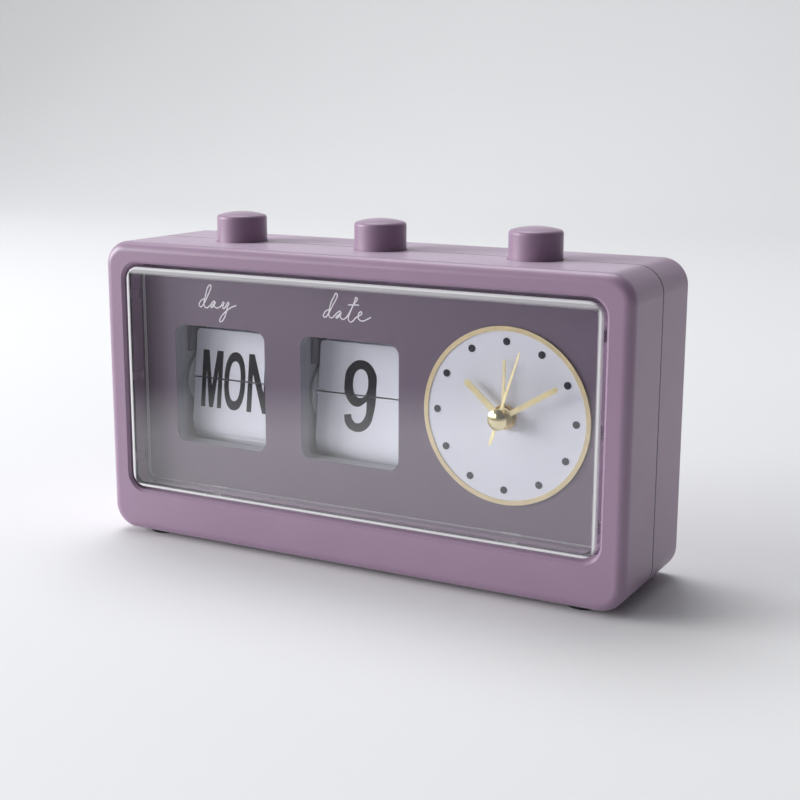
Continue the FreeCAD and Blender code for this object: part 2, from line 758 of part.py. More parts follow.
def click_spring(name):
    """A leaf spring whose tip rests beside the ratchet's teeth."""
    x = module_x[name]
    tip = axis_depth + ratchet_radius[name] + ratchet_tooth + loose_gap
    left, right = x - ratchet_outside, x - plate_outside
    top = axis_z - click_drop
    foot = block(left, right, tip, tip + 3.0, top - click_foot, top)
    strip = block(left, left + ratchet_width, tip, tip + click_thickness, top - 1, axis_z + 2)
    return merged([foot, strip])


def push_arm(name):
    """The arm on a button stem, with the pawl that steps the ratchet."""
    stem = Vec(button_x[name], button_depth, 0)
    x0 = module_x[name] - ratchet_outside + 0.2
    x1 = module_x[name] - ratchet_inside - 0.2
    top = shelf_bottom_z - arm_drop
    low = top - arm_height
    working = ratchet_radius[name]
    tip = working + ratchet_tooth
    blade_back = axis_depth - tip - loose_gap
    blade_front = blade_back - blade_thickness
    face = axis_z + tip * math.sin(math.radians(step[name] / 2)) + 0.12
    y0, y1 = button_depth - arm_width / 2, button_depth + arm_width / 2
    pawl = [Vec(x0, blade_back - 0.1, face),
            Vec(x0, axis_depth - working + 0.3, face),
            Vec(x0, axis_depth - working + 0.1, face + 0.55),
            Vec(x0, blade_back - 0.1, face + 1.7)]
    hub = rod(Vec(stem.x, stem.y, low), Z, arm_height, stem_radius + 1.4)
    arm = [hub,
           block(x0, stem.x, y0, y1, low, top),
           block(x0, x1, blade_front, y1, low, top),
           block(x0, x1, blade_front, blade_back, face, top),
           extruded(pawl, X * (x1 - x0))]
    socket = rod(Vec(stem.x, stem.y, low - 1), Z, arm_height + 2, stem_radius)
    return merged(arm).cut(socket)


# ---- buttons ----------------------------------------------------------------------------
def button_bottom(name):
    """Height of the lower end of a button's stem."""
    if name == "alarm":
        return dial_z + movement_size / 2 + plunger_rise + 0.1
    return shelf_bottom_z - arm_drop - arm_height


def button(name):
    """A hollow domed cap with a retaining collar and a guide stem."""
    low = case_top_inside - button_flange - 0.05
    high = case_height + button_rise
    shoulder = high - button_dome
    collar = button_radius + button_flange
    crown = (button_radius ** 2 + button_dome ** 2) / (2 * button_dome)
    cap = rod(Vec(0, 0, low), Z, high - low, button_radius)
    ball = Part.makeSphere(crown, Vec(0, 0, high - crown))
    cap = cap.common(ball.fuse(rod(Vec(0, 0, low), Z, shoulder - low, button_radius + 1)))
    rim = [edge for edge in cap.Edges
           if abs(edge.BoundBox.ZMin - shoulder) < 0.01 and abs(edge.BoundBox.ZMax - shoulder) < 0.01]
    cap = cap.makeFillet(button_edge, rim)
    ring = rod(Vec(0, 0, low), Z, button_flange, collar)
    hollow = rod(Vec(0, 0, low - 1), Z, shoulder - button_edge - low, button_radius - button_shell)
    bottom = button_bottom(name)
    stem = rod(Vec(0, 0, bottom), Z, shoulder - bottom, stem_radius)
    whole = merged([cap.fuse(ring).cut(hollow), stem])
    whole.translate(Vec(button_x[name], button_depth, 0))
    return whole


def button_spring(name):
    """A return spring between the shelf and the button's collar, drawn at its rest length."""
    low = shelf_top_z + spring_wire + 0.02
    seat = case_top_inside - button_flange - 0.05
    height = seat - spring_wire - 0.02 - low
    helix = Part.makeHelix(height / spring_turns, height, spring_radius)
    corners = []
    for index in range(wire_sides):
        turn = 2 * math.pi * index / wire_sides
        corners.append(Vec(spring_radius + spring_wire * math.cos(turn), 0,
                           spring_wire * math.sin(turn)))
    section = Part.makePolygon(corners + corners[:1])
    coil = Part.Wire(helix.Edges).makePipeShell([section], True, True)
    coil.translate(Vec(button_x[name], button_depth, low))
    return coil


# ---- dial and hands ---------------------------------------------------------------------
def on_dial(radius, clockwise):
    """Place on the dial at a radius and an angle from twelve: x and z."""
    turn = math.radians(clockwise)
    return dial_x + radius * math.sin(turn), dial_z + radius * math.cos(turn)


def dial_plate():
    disc = rod(Vec(dial_x, dial_front, dial_z), Y, dial_thickness, dial_radius)
    return disc.cut(rod(Vec(dial_x, dial_front - 1, dial_z), Y, dial_thickness + 2,
                        bush_radius + running_fit))


def dial_ring():
    ring = tube(Vec(dial_x, fascia_depth - ring_thickness, dial_z), Y, ring_thickness,
                dial_radius + ring_width, dial_radius)
    return ring


def hour_dots():
    dots = []
    for index in range(dot_count):
        x, z = on_dial(dot_circle, index * 360 / dot_count)
        dots.append(rod(Vec(x, dial_front - dot_thickness, z), Y, dot_thickness, dot_radius))
    return dots


def centre_bush():
    """Brass bush that clamps the dial and carries the tubes of the hands."""
    lip = rod(Vec(dial_x, bush_front, dial_z), Y, dial_front - bush_front, bush_lip)
    shank = rod(Vec(dial_x, bush_front, dial_z), Y, movement_front + movement_wall - bush_front,
                bush_radius)
    bore = rod(Vec(dial_x, bush_front - 1, dial_z), Y, case_depth, alarm_tube + running_fit)
    return merged([lip, shank]).cut(bore)


def hand(shape, y0, tube_radius, bore_radius):
    """A flat hand with a ring around its tube, turned clockwise from twelve."""
    root, tip = shape["root"] / 2, shape["tip"] / 2
    length, tail = shape["length"], shape["tail"]
    front = y0
    outline = [Vec(-root, front, -tail), Vec(root, front, -tail), Vec(root, front, 0),
               Vec(tip, front, length - tip), Vec(-tip, front, length - tip),
               Vec(-root, front, 0)]
    if tail == 0:
        outline = outline[2:]
    blade = extruded(outline, Y * hand_thickness)
    pieces = [blade, rod(Vec(0, front, length - tip), Y, hand_thickness, tip),
              rod(Vec(0, front, 0), Y, hand_thickness, tube_radius + hand_hub)]
    if tail:
        pieces.append(rod(Vec(0, front, -tail), Y, hand_thickness, root))
    plate = merged(pieces)
    if bore_radius:
        plate = plate.cut(rod(Vec(0, front - 1, 0), Y, hand_thickness + 2, bore_radius))
    plate.rotate(ORIGIN, Y, shape["angle"])
    plate.translate(Vec(dial_x, 0, dial_z))
    return plate


def hand_depth(order):
    """Front of a hand: 0 is the alarm hand, 3 the second hand."""
    return alarm_level - hand_thickness - order * hand_pitch


def second_hand_piece():
    """The second hand with its domed cap."""
    plate = hand(second_hand, hand_depth(3), arbor_radius, arbor_radius)
    front = hand_depth(3)
    base = rod(Vec(dial_x, front - cap_base, dial_z), Y, cap_base, cap_radius)
    crown = (cap_radius ** 2 + cap_dome ** 2) / (2 * cap_dome)
    ball = Part.makeSphere(crown, Vec(dial_x, front - cap_base - cap_dome + crown, dial_z))
    dome = ball.common(rod(Vec(dial_x, front - cap_base - cap_dome - 1, dial_z), Y,
                           cap_dome + 1, cap_radius + 1))
    return merged([plate, base, dome])


# ---- movement ---------------------------------------------------------------------------
def around(radius, degrees, x=dial_x, z=dial_z):
    """Place at a radius and direction, counted from the right and upwards: x and z."""
    turn = math.radians(degrees)
    return x + radius * math.cos(turn), z + radius * math.sin(turn)


gear_teeth = {"rotor": 8, "fifth": 48, "fifth_pinion": 8, "seconds": 40, "seconds_pinion": 8,
              "third": 64, "third_pinion": 8, "centre": 60, "minute_pinion": 12, "motion": 36,
              "motion_pinion": 10, "hour": 40, "alarm": 40, "setting_pinion": 12}
centre_distance = train_module * (gear_teeth["centre"] + gear_teeth["third_pinion"]) / 2
third_module = 2 * centre_distance / (gear_teeth["third"] + gear_teeth["seconds_pinion"])
motion_distance = motion_module * (gear_teeth["motion"] + gear_teeth["minute_pinion"]) / 2
hour_module = 2 * motion_distance / (gear_teeth["hour"] + gear_teeth["motion_pinion"])
alarm_distance = motion_module * (gear_teeth["alarm"] + gear_teeth["setting_pinion"]) / 2
time_distance = motion_module * (gear_teeth["motion"] + gear_teeth["setting_pinion"]) / 2
seconds_module = 0.4
rotor_module = 0.3
fifth_distance = seconds_module * (gear_teeth["seconds"] + gear_teeth["fifth_pinion"]) / 2
rotor_distance = rotor_module * (gear_teeth["fifth"] + gear_teeth["rotor"]) / 2


def third_place():
    return around(centre_distance, 0)


def motion_place():
    return around(motion_distance, 180)


def fifth_place():
    return around(fifth_distance, fifth_direction)


def rotor_place():
    x, z = fifth_place()
    return around(rotor_distance, fifth_direction, x, z)


def alarm_shaft():
    return around(alarm_distance, alarm_direction)


def time_shaft():
    x, z = motion_place()
    return around(time_distance, time_direction, x, z)


def level(index):
    """Front of a gear level inside the movement."""
    return first_level + index * level_pitch


def mesh_phase(phase, teeth, other_teeth, direction):
    """Phase of a wheel whose gap meets a tooth of the first wheel, in degrees."""
    pitch = 360.0 / teeth
    part = ((direction - phase) / pitch) % 1.0
    return direction + 180 + (part + 0.5) * 360.0 / other_teeth


def gear(teeth, module, place, y0, thickness, bore, phase=0.0):
    """A wheel with straight-flanked teeth that are narrow enough to run with backlash."""
    pitch_radius = module * teeth / 2
    root = pitch_radius - 1.3 * module
    tip = pitch_radius + 0.8 * module
    pitch = 2 * math.pi / teeth
    points = []
    for index in range(teeth):
        middle = math.radians(phase) + index * pitch
        for radius, share in ((root, -0.27), (tip, -0.1), (tip, 0.1), (root, 0.27)):
            turn = middle + share * pitch
            points.append(Vec(place[0] + radius * math.cos(turn), y0,
                              place[1] + radius * math.sin(turn)))
    wheel = extruded(points, Y * thickness)
    if bore:
        wheel = wheel.cut(rod(Vec(place[0], y0 - 1, place[1]), Y, thickness + 2, bore))
    return wheel


def train_phases():
    """Tooth phases, so that every pair is in mesh at rest."""
    phases = {"seconds_pinion": 0.0, "third_pinion": 0.0, "seconds": 0.0, "fifth": 0.0,
              "minute_pinion": 0.0, "motion_pinion": 0.0, "alarm": 0.0}

    def follow(driver, driven, direction):
        phases[driven] = mesh_phase(phases[driver], gear_teeth[driver], gear_teeth[driven],
                                    direction)

    follow("seconds_pinion", "third", 0)
    follow("third_pinion", "centre", 180)
    follow("seconds", "fifth_pinion", fifth_direction)
    follow("fifth", "rotor", fifth_direction)
    follow("minute_pinion", "motion", 180)
    follow("motion_pinion", "hour", 0)
    phases["time_pinion"] = mesh_phase(phases["motion"], gear_teeth["motion"],
                                       gear_teeth["setting_pinion"], time_direction)
    phases["alarm_pinion"] = mesh_phase(phases["alarm"], gear_teeth["alarm"],
                                        gear_teeth["setting_pinion"], alarm_direction)
    return phases


phase = train_phases()
centre = (dial_x, dial_z)


def sleeve(y0, y1, outer, inner, place=centre):
    """A tube on a depth axis."""
    return tube(Vec(place[0], y0, place[1]), Y, y1 - y0, outer, inner)


def pin(y0, y1, radius, place):
    return rod(Vec(place[0], y0, place[1]), Y, y1 - y0, radius)


def alarm_wheel():
    wheel = gear(gear_teeth["alarm"], motion_module, centre, level(0), wheel_thickness,
                 hour_tube + running_fit, phase["alarm"])
    return merged([wheel, sleeve(hand_depth(0), level(0) + wheel_thickness, alarm_tube,
                                 hour_tube + running_fit)])


def hour_wheel():
    wheel = gear(gear_teeth["hour"], hour_module, centre, level(1), wheel_thickness,
                 minute_tube + running_fit, phase["hour"])
    return merged([wheel, sleeve(hand_depth(1), level(1) + wheel_thickness, hour_tube,
                                 minute_tube + running_fit)])


def minute_pinion():
    """The minute tube with its pinion, which slips in the centre wheel when the time is set."""
    wheel = gear(gear_teeth["minute_pinion"], motion_module, centre, level(2), wheel_thickness,
                 arbor_radius + running_fit, phase["minute_pinion"])
    return merged([wheel, sleeve(hand_depth(2), level(3) + wheel_thickness + 0.3, minute_tube,
                                 arbor_radius + running_fit)])


def motion_wheel():
    place = motion_place()
    bore = wheel_post + running_fit
    wheel = gear(gear_teeth["motion"], motion_module, place, level(2), wheel_thickness, bore,
                 phase["motion"])
    small = gear(gear_teeth["motion_pinion"], hour_module, place, level(1), level_pitch, bore,
                 phase["motion_pinion"])
    return merged([wheel, small])


def centre_wheel():
    return gear(gear_teeth["centre"], train_module, centre, level(3), wheel_thickness,
                minute_tube + running_fit, phase["centre"])


def third_wheel():
    place = third_place()
    bore = wheel_post + running_fit
    wheel = gear(gear_teeth["third"], third_module, place, level(4), wheel_thickness - 0.2, bore,
                 phase["third"])
    small = gear(gear_teeth["third_pinion"], train_module, place, level(3), level_pitch, bore,
                 phase["third_pinion"])
    return merged([wheel, small])


def seconds_wheel():
    """The seconds arbor with its pinion and wheel."""
    arbor = pin(hand_depth(3) + 0.1, movement_cover_front + 0.8, arbor_radius, centre)
    small = gear(gear_teeth["seconds_pinion"], third_module, centre, level(4), level_pitch, 0,
                 phase["seconds_pinion"])
    wheel = gear(gear_teeth["seconds"], seconds_module, centre, level(5), wheel_thickness - 0.2,
                 0, phase["seconds"])
    return merged([arbor, small, wheel])


def fifth_wheel():
    place = fifth_place()
    bore = wheel_post + running_fit
    small = gear(gear_teeth["fifth_pinion"], seconds_module, place, level(5), level_pitch, bore,
                 phase["fifth_pinion"])
    wheel = gear(gear_teeth["fifth"], rotor_module, place, level(6), wheel_thickness - 0.4, bore,
                 phase["fifth"])
    return merged([small, wheel])


def rotor():
    """The stepping motor's magnet with its pinion."""
    place = rotor_place()
    bore = wheel_post - 0.2 + running_fit
    small = gear(gear_teeth["rotor"], rotor_module, place, level(6), wheel_thickness, bore,
                 phase["rotor"])
    magnet = sleeve(level(6) + wheel_thickness, movement_cover_front - 0.2, rotor_magnet, bore,
                    place)
    return merged([small, magnet])


def plunger_place():
    return button_x["alarm"], button_depth


def movement_case():
    """Front half of the movement's case, with the post of the motion wheel."""
    outer = rounded_prism(movement_size, movement_size, movement_corner, dial_x, dial_z,
                          movement_front, movement_cover_front)
    inner = rounded_prism(movement_size - 2 * movement_wall, movement_size - 2 * movement_wall,
                          movement_corner - movement_wall, dial_x, dial_z,
                          movement_front + movement_wall, movement_cover_front + 1)
    x, y = plunger_place()
    post = pin(movement_front + movement_wall / 2, level(2) + wheel_thickness + 0.4, wheel_post,
               motion_place())
    sockets = [pin(movement_front + shaft_socket - 0.1, movement_front + movement_wall + 1,
                   shaft_radius + running_fit, place) for place in (time_shaft(), alarm_shaft())]
    centre_hole = pin(movement_front - 1, movement_front + movement_wall + 1, bush_radius, centre)
    plunger_hole = rod(Vec(x, y, dial_z), Z, movement_size, plunger_radius + sliding_fit)
    return merged([outer.cut([inner, centre_hole, plunger_hole] + sockets), post])


def movement_cover():
    """Back of the movement's case, with the posts that the wheels turn on."""
    plate = rounded_prism(movement_size, movement_size, movement_corner, dial_x, dial_z,
                          movement_cover_front, movement_back)
    third_front, fifth_front = level(3) - 0.3, level(5) - 0.3
    posts = [pin(third_front, movement_cover_front + 0.5, wheel_post, third_place()),
             pin(fifth_front, movement_cover_front + 0.5, wheel_post, fifth_place()),
             pin(level(6) - 0.2, movement_cover_front + 0.5, wheel_post - 0.2, rotor_place()),
             pin(level(4) + wheel_thickness + 0.1, movement_cover_front + 0.5, wheel_post + 0.6,
                 third_place())]
    posts += [pin(board_back(), movement_cover_front + 0.5, 1.5, (dial_x + x, board_z()))
              for x in board_post_x]
    posts += [pin(stator_back(), movement_cover_front + 0.5, 1.5, place)
              for place in stator_feet()]
    holes = [pin(movement_cover_front - 1, movement_back + 1, shaft_radius + 0.5 + running_fit,
                 place) for place in (time_shaft(), alarm_shaft())]
    holes.append(pin(movement_cover_front - 1, movement_cover_front + 0.9,
                     arbor_radius + running_fit, centre))
    for x in contact_places():
        holes.append(block(x - contact_thickness, x + contact_thickness,
                           movement_cover_front - 1, movement_back + 1,
                           contact_tail_z() - 1.7, contact_tail_z() + 1.7))
    return merged([plate] + posts).cut(holes)


def board_z():
    return dial_z - movement_size / 2 + movement_wall + 4.7


def board_back():
    return level(6) + 1.4


def circuit_board():
    half = movement_size / 2 - movement_wall - 0.8
    z = board_z()
    return block(dial_x - half, dial_x + half, board_back() - 1.0, board_back(), z - 4.4, z + 4.4)


def quartz_crystal():
    """A can with two leads that lie on the board."""
    front = board_back() - 1.0
    can = rod(Vec(dial_x + 3, front - 1.0, board_z()), X, 6.0, 1.0)
    leads = [rod(Vec(dial_x + 0.5, front - 1.0, board_z() + dz), X, 2.6, 0.2)
             for dz in (-0.5, 0.5)]
    return merged([can] + leads)


def stator_back():
    return level(6) + 2.2


def coil_middle():
    return dial_x + coil_shift[0], rotor_place()[1] + coil_shift[1]


def stator_feet():
    x, z = coil_middle()
    return [(x - core_half, z), (x + core_half, z)]


def stator():
    """Steel plates around the rotor and the core through the coil."""
    rx, rz = rotor_place()
    cx, cz = coil_middle()
    back = stator_back()
    front = back - 1.0
    inner, outer = coil_half + 1.0, core_half + 1.8
    plate = block(rx - 5, cx - inner, front, back, rz - 5, cz + 2.6)
    foot = block(cx + inner, cx + outer, front, back, cz - 2.6, cz + 2.6)
    core_y = front - 1.6
    core = rod(Vec(cx - core_half, core_y, cz), X, 2 * core_half, 1.0)
    legs = [block(cx + side * core_half - 1.2, cx + side * core_half + 1.2, core_y, back,
                  cz - 1.2, cz + 1.2) for side in (-1, 1)]
    hole = pin(front - 1, back + 1, rotor_magnet + loose_gap, (rx, rz))
    return merged([plate, foot, core] + legs).cut(hole)


def coil():
    """Copper winding on a bobbin around the stator's core."""
    cx, cz = coil_middle()
    core_y = stator_back() - 1.0 - 1.6
    winding = tube(Vec(cx - coil_half, core_y, cz), X, 2 * coil_half, 2.4, 1.02)
    ends = [tube(Vec(cx + side * coil_half, core_y, cz), X * side, 0.8, 2.9, 1.02)
            for side in (-1, 1)]
    return merged([winding] + ends)


def buzzer():
    """Piezo disc on the inside of the cover."""
    place = (dial_x + buzzer_shift[0], dial_z + buzzer_shift[1])
    plate = pin(movement_cover_front - 0.3, movement_cover_front, buzzer_radius, place)
    ceramic = pin(movement_cover_front - 0.6, movement_cover_front - 0.3, buzzer_radius - 2, place)
    return merged([plate, ceramic])


def stop_plunger():
    """The switch pin on top of the movement that the alarm button pushes."""
    x, y = plunger_place()
    top = dial_z + movement_size / 2
    length = movement_wall + plunger_rise + 0.6
    return rod(Vec(x, y, top + plunger_rise - length), Z, length, plunger_radius)


def knob(place, pinion_level, pinion_phase):
    """A fluted setting knob with its long shaft and pinion."""
    x, z = place
    front = case_depth - recess_depth + loose_gap
    head = rod(Vec(x, front, z), Y, knob_height, knob_radius)
    head = head.makeFillet(0.6, edges_at_depth(head, front + knob_height))
    flutes = []
    for index in range(knob_flutes):
        fx, fz = around(knob_radius + 0.35, index * 360 / knob_flutes, x, z)
        flutes.append(rod(Vec(fx, front - 1, fz), Y, knob_height + 2, 0.7))
    grip = block(x - knob_radius + 1.6, x + knob_radius - 1.6, front + knob_height - 1.2,
                 front + knob_height + 1, z - 0.5, z + 0.5)
    head = head.cut(flutes + [grip])
    stout = pin(movement_cover_front - 0.4, front, shaft_radius + 0.5, place)
    slim = pin(movement_front + shaft_socket, movement_cover_front, shaft_radius, place)
    pinion = gear(gear_teeth["setting_pinion"], motion_module, place, pinion_level,
                  wheel_thickness, 0, pinion_phase)
    return merged([head, stout, slim, pinion])


# ---- battery ----------------------------------------------------------------------------
def contact_places():
    x0, x1 = battery_bay()[:2]
    return x0 + contact_thickness, x1 - contact_thickness


def contact_tail_z():
    return board_z() + 1.0


def contact_neck():
    """Depths between which a contact strip leaves the bay through its roof."""
    return tuple(battery_axis_depth() - reach for reach in neck_reach)


def battery():
    x, y, z = battery_axis()
    nub = 1.4
    can = rod(Vec(x - battery_length / 2 + nub, y, z), X, battery_length - nub, battery_radius)
    can = can.makeFillet(0.6, [edge for edge in can.Edges if len(edge.Vertexes) == 1])
    button_end = rod(Vec(x - battery_length / 2, y, z), X, nub + 0.5, 2.75)
    return merged([can, button_end])


def battery_contacts():
    """Two stamped strips at the ends of the bay, whose tails reach the circuit board."""
    x0, x1, y0, z0, z1 = battery_bay()
    axis_y = battery_axis()[1]
    tail_z = contact_tail_z()
    strips = []
    for x, side in zip(contact_places(), (-1, 1)):
        half = contact_thickness / 2
        neck_front, neck_back = contact_neck()
        plate = block(x - half, x + half, axis_y - 6, axis_y + 5.5, z0 + 0.3, z1 - 0.3)
        neck = block(x - half, x + half, neck_front, neck_back, z1 - 1, tail_z + 1.4)
        tail = block(x - half, x + half, board_back(), neck_back, tail_z - 1.4, tail_z + 1.4)
        dome = Part.makeCone(2.2, 0.8, battery_end_gap(),
                             Vec(x - side * half, axis_y, battery_axis()[2]), X * -side)
        strips.append(merged([plate, neck, tail, dome]))
    return strips


def battery_end_gap():
    """Room between a contact strip and the battery's end."""
    x0, x1 = battery_bay()[:2]
    return (x1 - x0 - battery_length) / 2 - 1.5 * contact_thickness


def battery_door():
    """A flush door that tilts out on two hooks at its lower edge."""
    x0, x1, y0, z0, z1 = battery_bay()
    front = case_depth - door_thickness
    lap = door_lap - door_gap
    plate = block(x0 - lap, x1 + lap, front, case_depth, z0 - lap, z1 + lap)
    hooks = [block(x - 3, x + 3, front, case_depth - 1.0, z0 - door_lap - door_hook, z0)
             for x in (x0 + hook_inset, x1 - hook_inset)]
    latch = block(dial_x - 6, dial_x + 6, front - 1.5, front + 0.5, z1 - 1.4, z1 - 0.4)
    grooves = [block(dial_x - 7, dial_x + 7, case_depth - 0.5, case_depth + 1,
                     z1 - 2.5 - index * 1.8, z1 - 1.7 - index * 1.8) for index in range(4)]
    return merged([plate, latch] + hooks).cut(grooves)


# ---- all nodes --------------------------------------------------------------------------
def build():
    save("front_shell", front_shell())
    save("rear_shell", rear_shell())
    save("lens_cover", lens_cover())
    save("fascia_panel", fascia_panel())
    save("panel_screws", panel_screws())
    save("case_screws", case_screws())
    save("rubber_feet", rubber_feet())
    save("dial_plate", dial_plate())
    save("dial_ring", dial_ring())
    save("hour_dots", hour_dots())
    save("centre_bush", centre_bush())
    save("leaf_guides", leaf_guides())
    for name in leaf_count:
        save(name + "_frame", module_frame(name))
        save(name + "_axle", axle(name))
        save(name + "_drum", drum(name))
        save(name + "_ratchet", ratchet(name))
        save(name + "_click_spring", click_spring(name))
        save(name + "_leaves", leaves(name))
        save(name + "_flap", flap(name))
        save(name + "_push_arm", push_arm(name))
    for name in button_x:
        save(name + "_button", button(name))
        save(name + "_button_spring", button_spring(name))
    save("alarm_hand", hand(alarm_hand, hand_depth(0), alarm_tube, alarm_tube))
    save("hour_hand", hand(hour_hand, hand_depth(1), hour_tube, hour_tube))
    save("minute_hand", hand(minute_hand, hand_depth(2), minute_tube, minute_tube))
    save("second_hand", second_hand_piece())
    save("movement_case", movement_case())
    save("movement_cover", movement_cover())
    save("alarm_wheel", alarm_wheel())
    save("hour_wheel", hour_wheel())
    save("minute_pinion", minute_pinion())
    save("motion_wheel", motion_wheel())
    save("centre_wheel", centre_wheel())
    save("third_wheel", third_wheel())
    save("seconds_wheel", seconds_wheel())
    save("fifth_wheel", fifth_wheel())
    save("rotor", rotor())
    save("stator", stator())
    save("coil", coil())
    save("circuit_board", circuit_board())
    save("quartz_crystal", quartz_crystal())
    save("buzzer", buzzer())
    save("stop_plunger", stop_plunger())
    save("time_knob", knob(time_shaft(), level(2), phase["time_pinion"]))
    save("alarm_knob", knob(alarm_shaft(), level(0), phase["alarm_pinion"]))
    save("battery", battery())
    save("battery_contacts", battery_contacts())
    save("battery_door", battery_door())


build()
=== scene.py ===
import bpy
import bmesh
import math
from mathutils import Matrix, Vector


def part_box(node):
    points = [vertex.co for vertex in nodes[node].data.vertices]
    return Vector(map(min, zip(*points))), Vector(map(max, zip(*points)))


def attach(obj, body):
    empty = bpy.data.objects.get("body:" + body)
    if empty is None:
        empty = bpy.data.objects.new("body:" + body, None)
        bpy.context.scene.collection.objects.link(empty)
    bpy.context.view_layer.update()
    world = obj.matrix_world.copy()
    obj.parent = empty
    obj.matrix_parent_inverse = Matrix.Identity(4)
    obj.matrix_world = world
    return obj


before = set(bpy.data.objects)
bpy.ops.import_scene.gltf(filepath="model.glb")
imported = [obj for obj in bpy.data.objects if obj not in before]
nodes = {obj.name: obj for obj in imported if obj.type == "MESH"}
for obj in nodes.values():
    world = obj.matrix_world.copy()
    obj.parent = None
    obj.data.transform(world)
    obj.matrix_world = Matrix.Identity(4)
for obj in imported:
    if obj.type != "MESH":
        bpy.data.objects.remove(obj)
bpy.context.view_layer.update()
MM = 0.001

# ---- places read from the frame ---------------------------------------------------------
dial_low, dial_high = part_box("dial_plate")
dial_x = (dial_low[0] + dial_high[0]) / 2
dial_z = (dial_low[2] + dial_high[2]) / 2
fascia_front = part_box("fascia_panel")[0][1]
foot_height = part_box("rubber_feet")[1][2]
opening_low = foot_height + 15.1 * MM     # the lens's lower and upper edge
opening_high = foot_height + 87.7 * MM
rib_reach = 0.75 * MM       # the lens's clips stand out this far past its side walls
highlight_left, highlight_right = 1.4 * MM, 1.5 * MM  # widths of the painted highlight along the lens's front edges
highlight_low, highlight_high = 1.2 * MM, 1.2 * MM
highlight_band, band_share = 2.5 * MM, 0.6      # a fainter band of painted highlight below the upper edge
highlight_core = 0.6              # share of a highlight's width at which it has its full tone
highlight_share = 0.85            # how much of the clear plastic the painted highlight hides
front_depth = 1.0 * MM      # how far the painted highlight reaches back from the lens's front
back_depth, back_share = 0.6 * MM, 0.9    # the painted highlight where the lens meets the fascia
cap_radius, cap_blend = 3.0 * MM, 0.5 * MM
seam_core, seam_soft = 0.35 * MM, 0.65 * MM
seam_shade_tone = 0.25            # the paint's share of colour in the painted shade along the seam
paint_low, paint_high = 0.1 * MM, 0.2 * MM    # depth at which the fascia's paint ends
leaf_sheet = 0.16 * MM
leaf_split = 0.45 * MM
ink_lay = 0.01 * MM         # thinner than the gap between a fallen leaf and the one below
ink_share = 0.6             # the ink's own thickness, as a share of ink_lay
leaf_lean = math.radians(7)
pin_radius = 6.5 * MM
step = {"day": math.radians(360 / 21), "date": math.radians(360 / 31)}
drum_axis = {}
for name in step:
    low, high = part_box(name + "_drum")
    drum_axis[name] = Vector((0, (low[1] + high[1]) / 2, (low[2] + high[2]) / 2))


def leaf_pin(module, upper):
    """Place of the pin of the upper or the lower leaf in view."""
    turn = leaf_lean + (0.5 if upper else -0.5) * step[module]
    return drum_axis[module] + pin_radius * Vector((0, -math.cos(turn), math.sin(turn)))


def turned(pivot, angle):
    """A turn around a line along X, tops to the front for a positive angle."""
    return Matrix.Translation(pivot) @ Matrix.Rotation(angle, 4, "X") @ Matrix.Translation(-pivot)


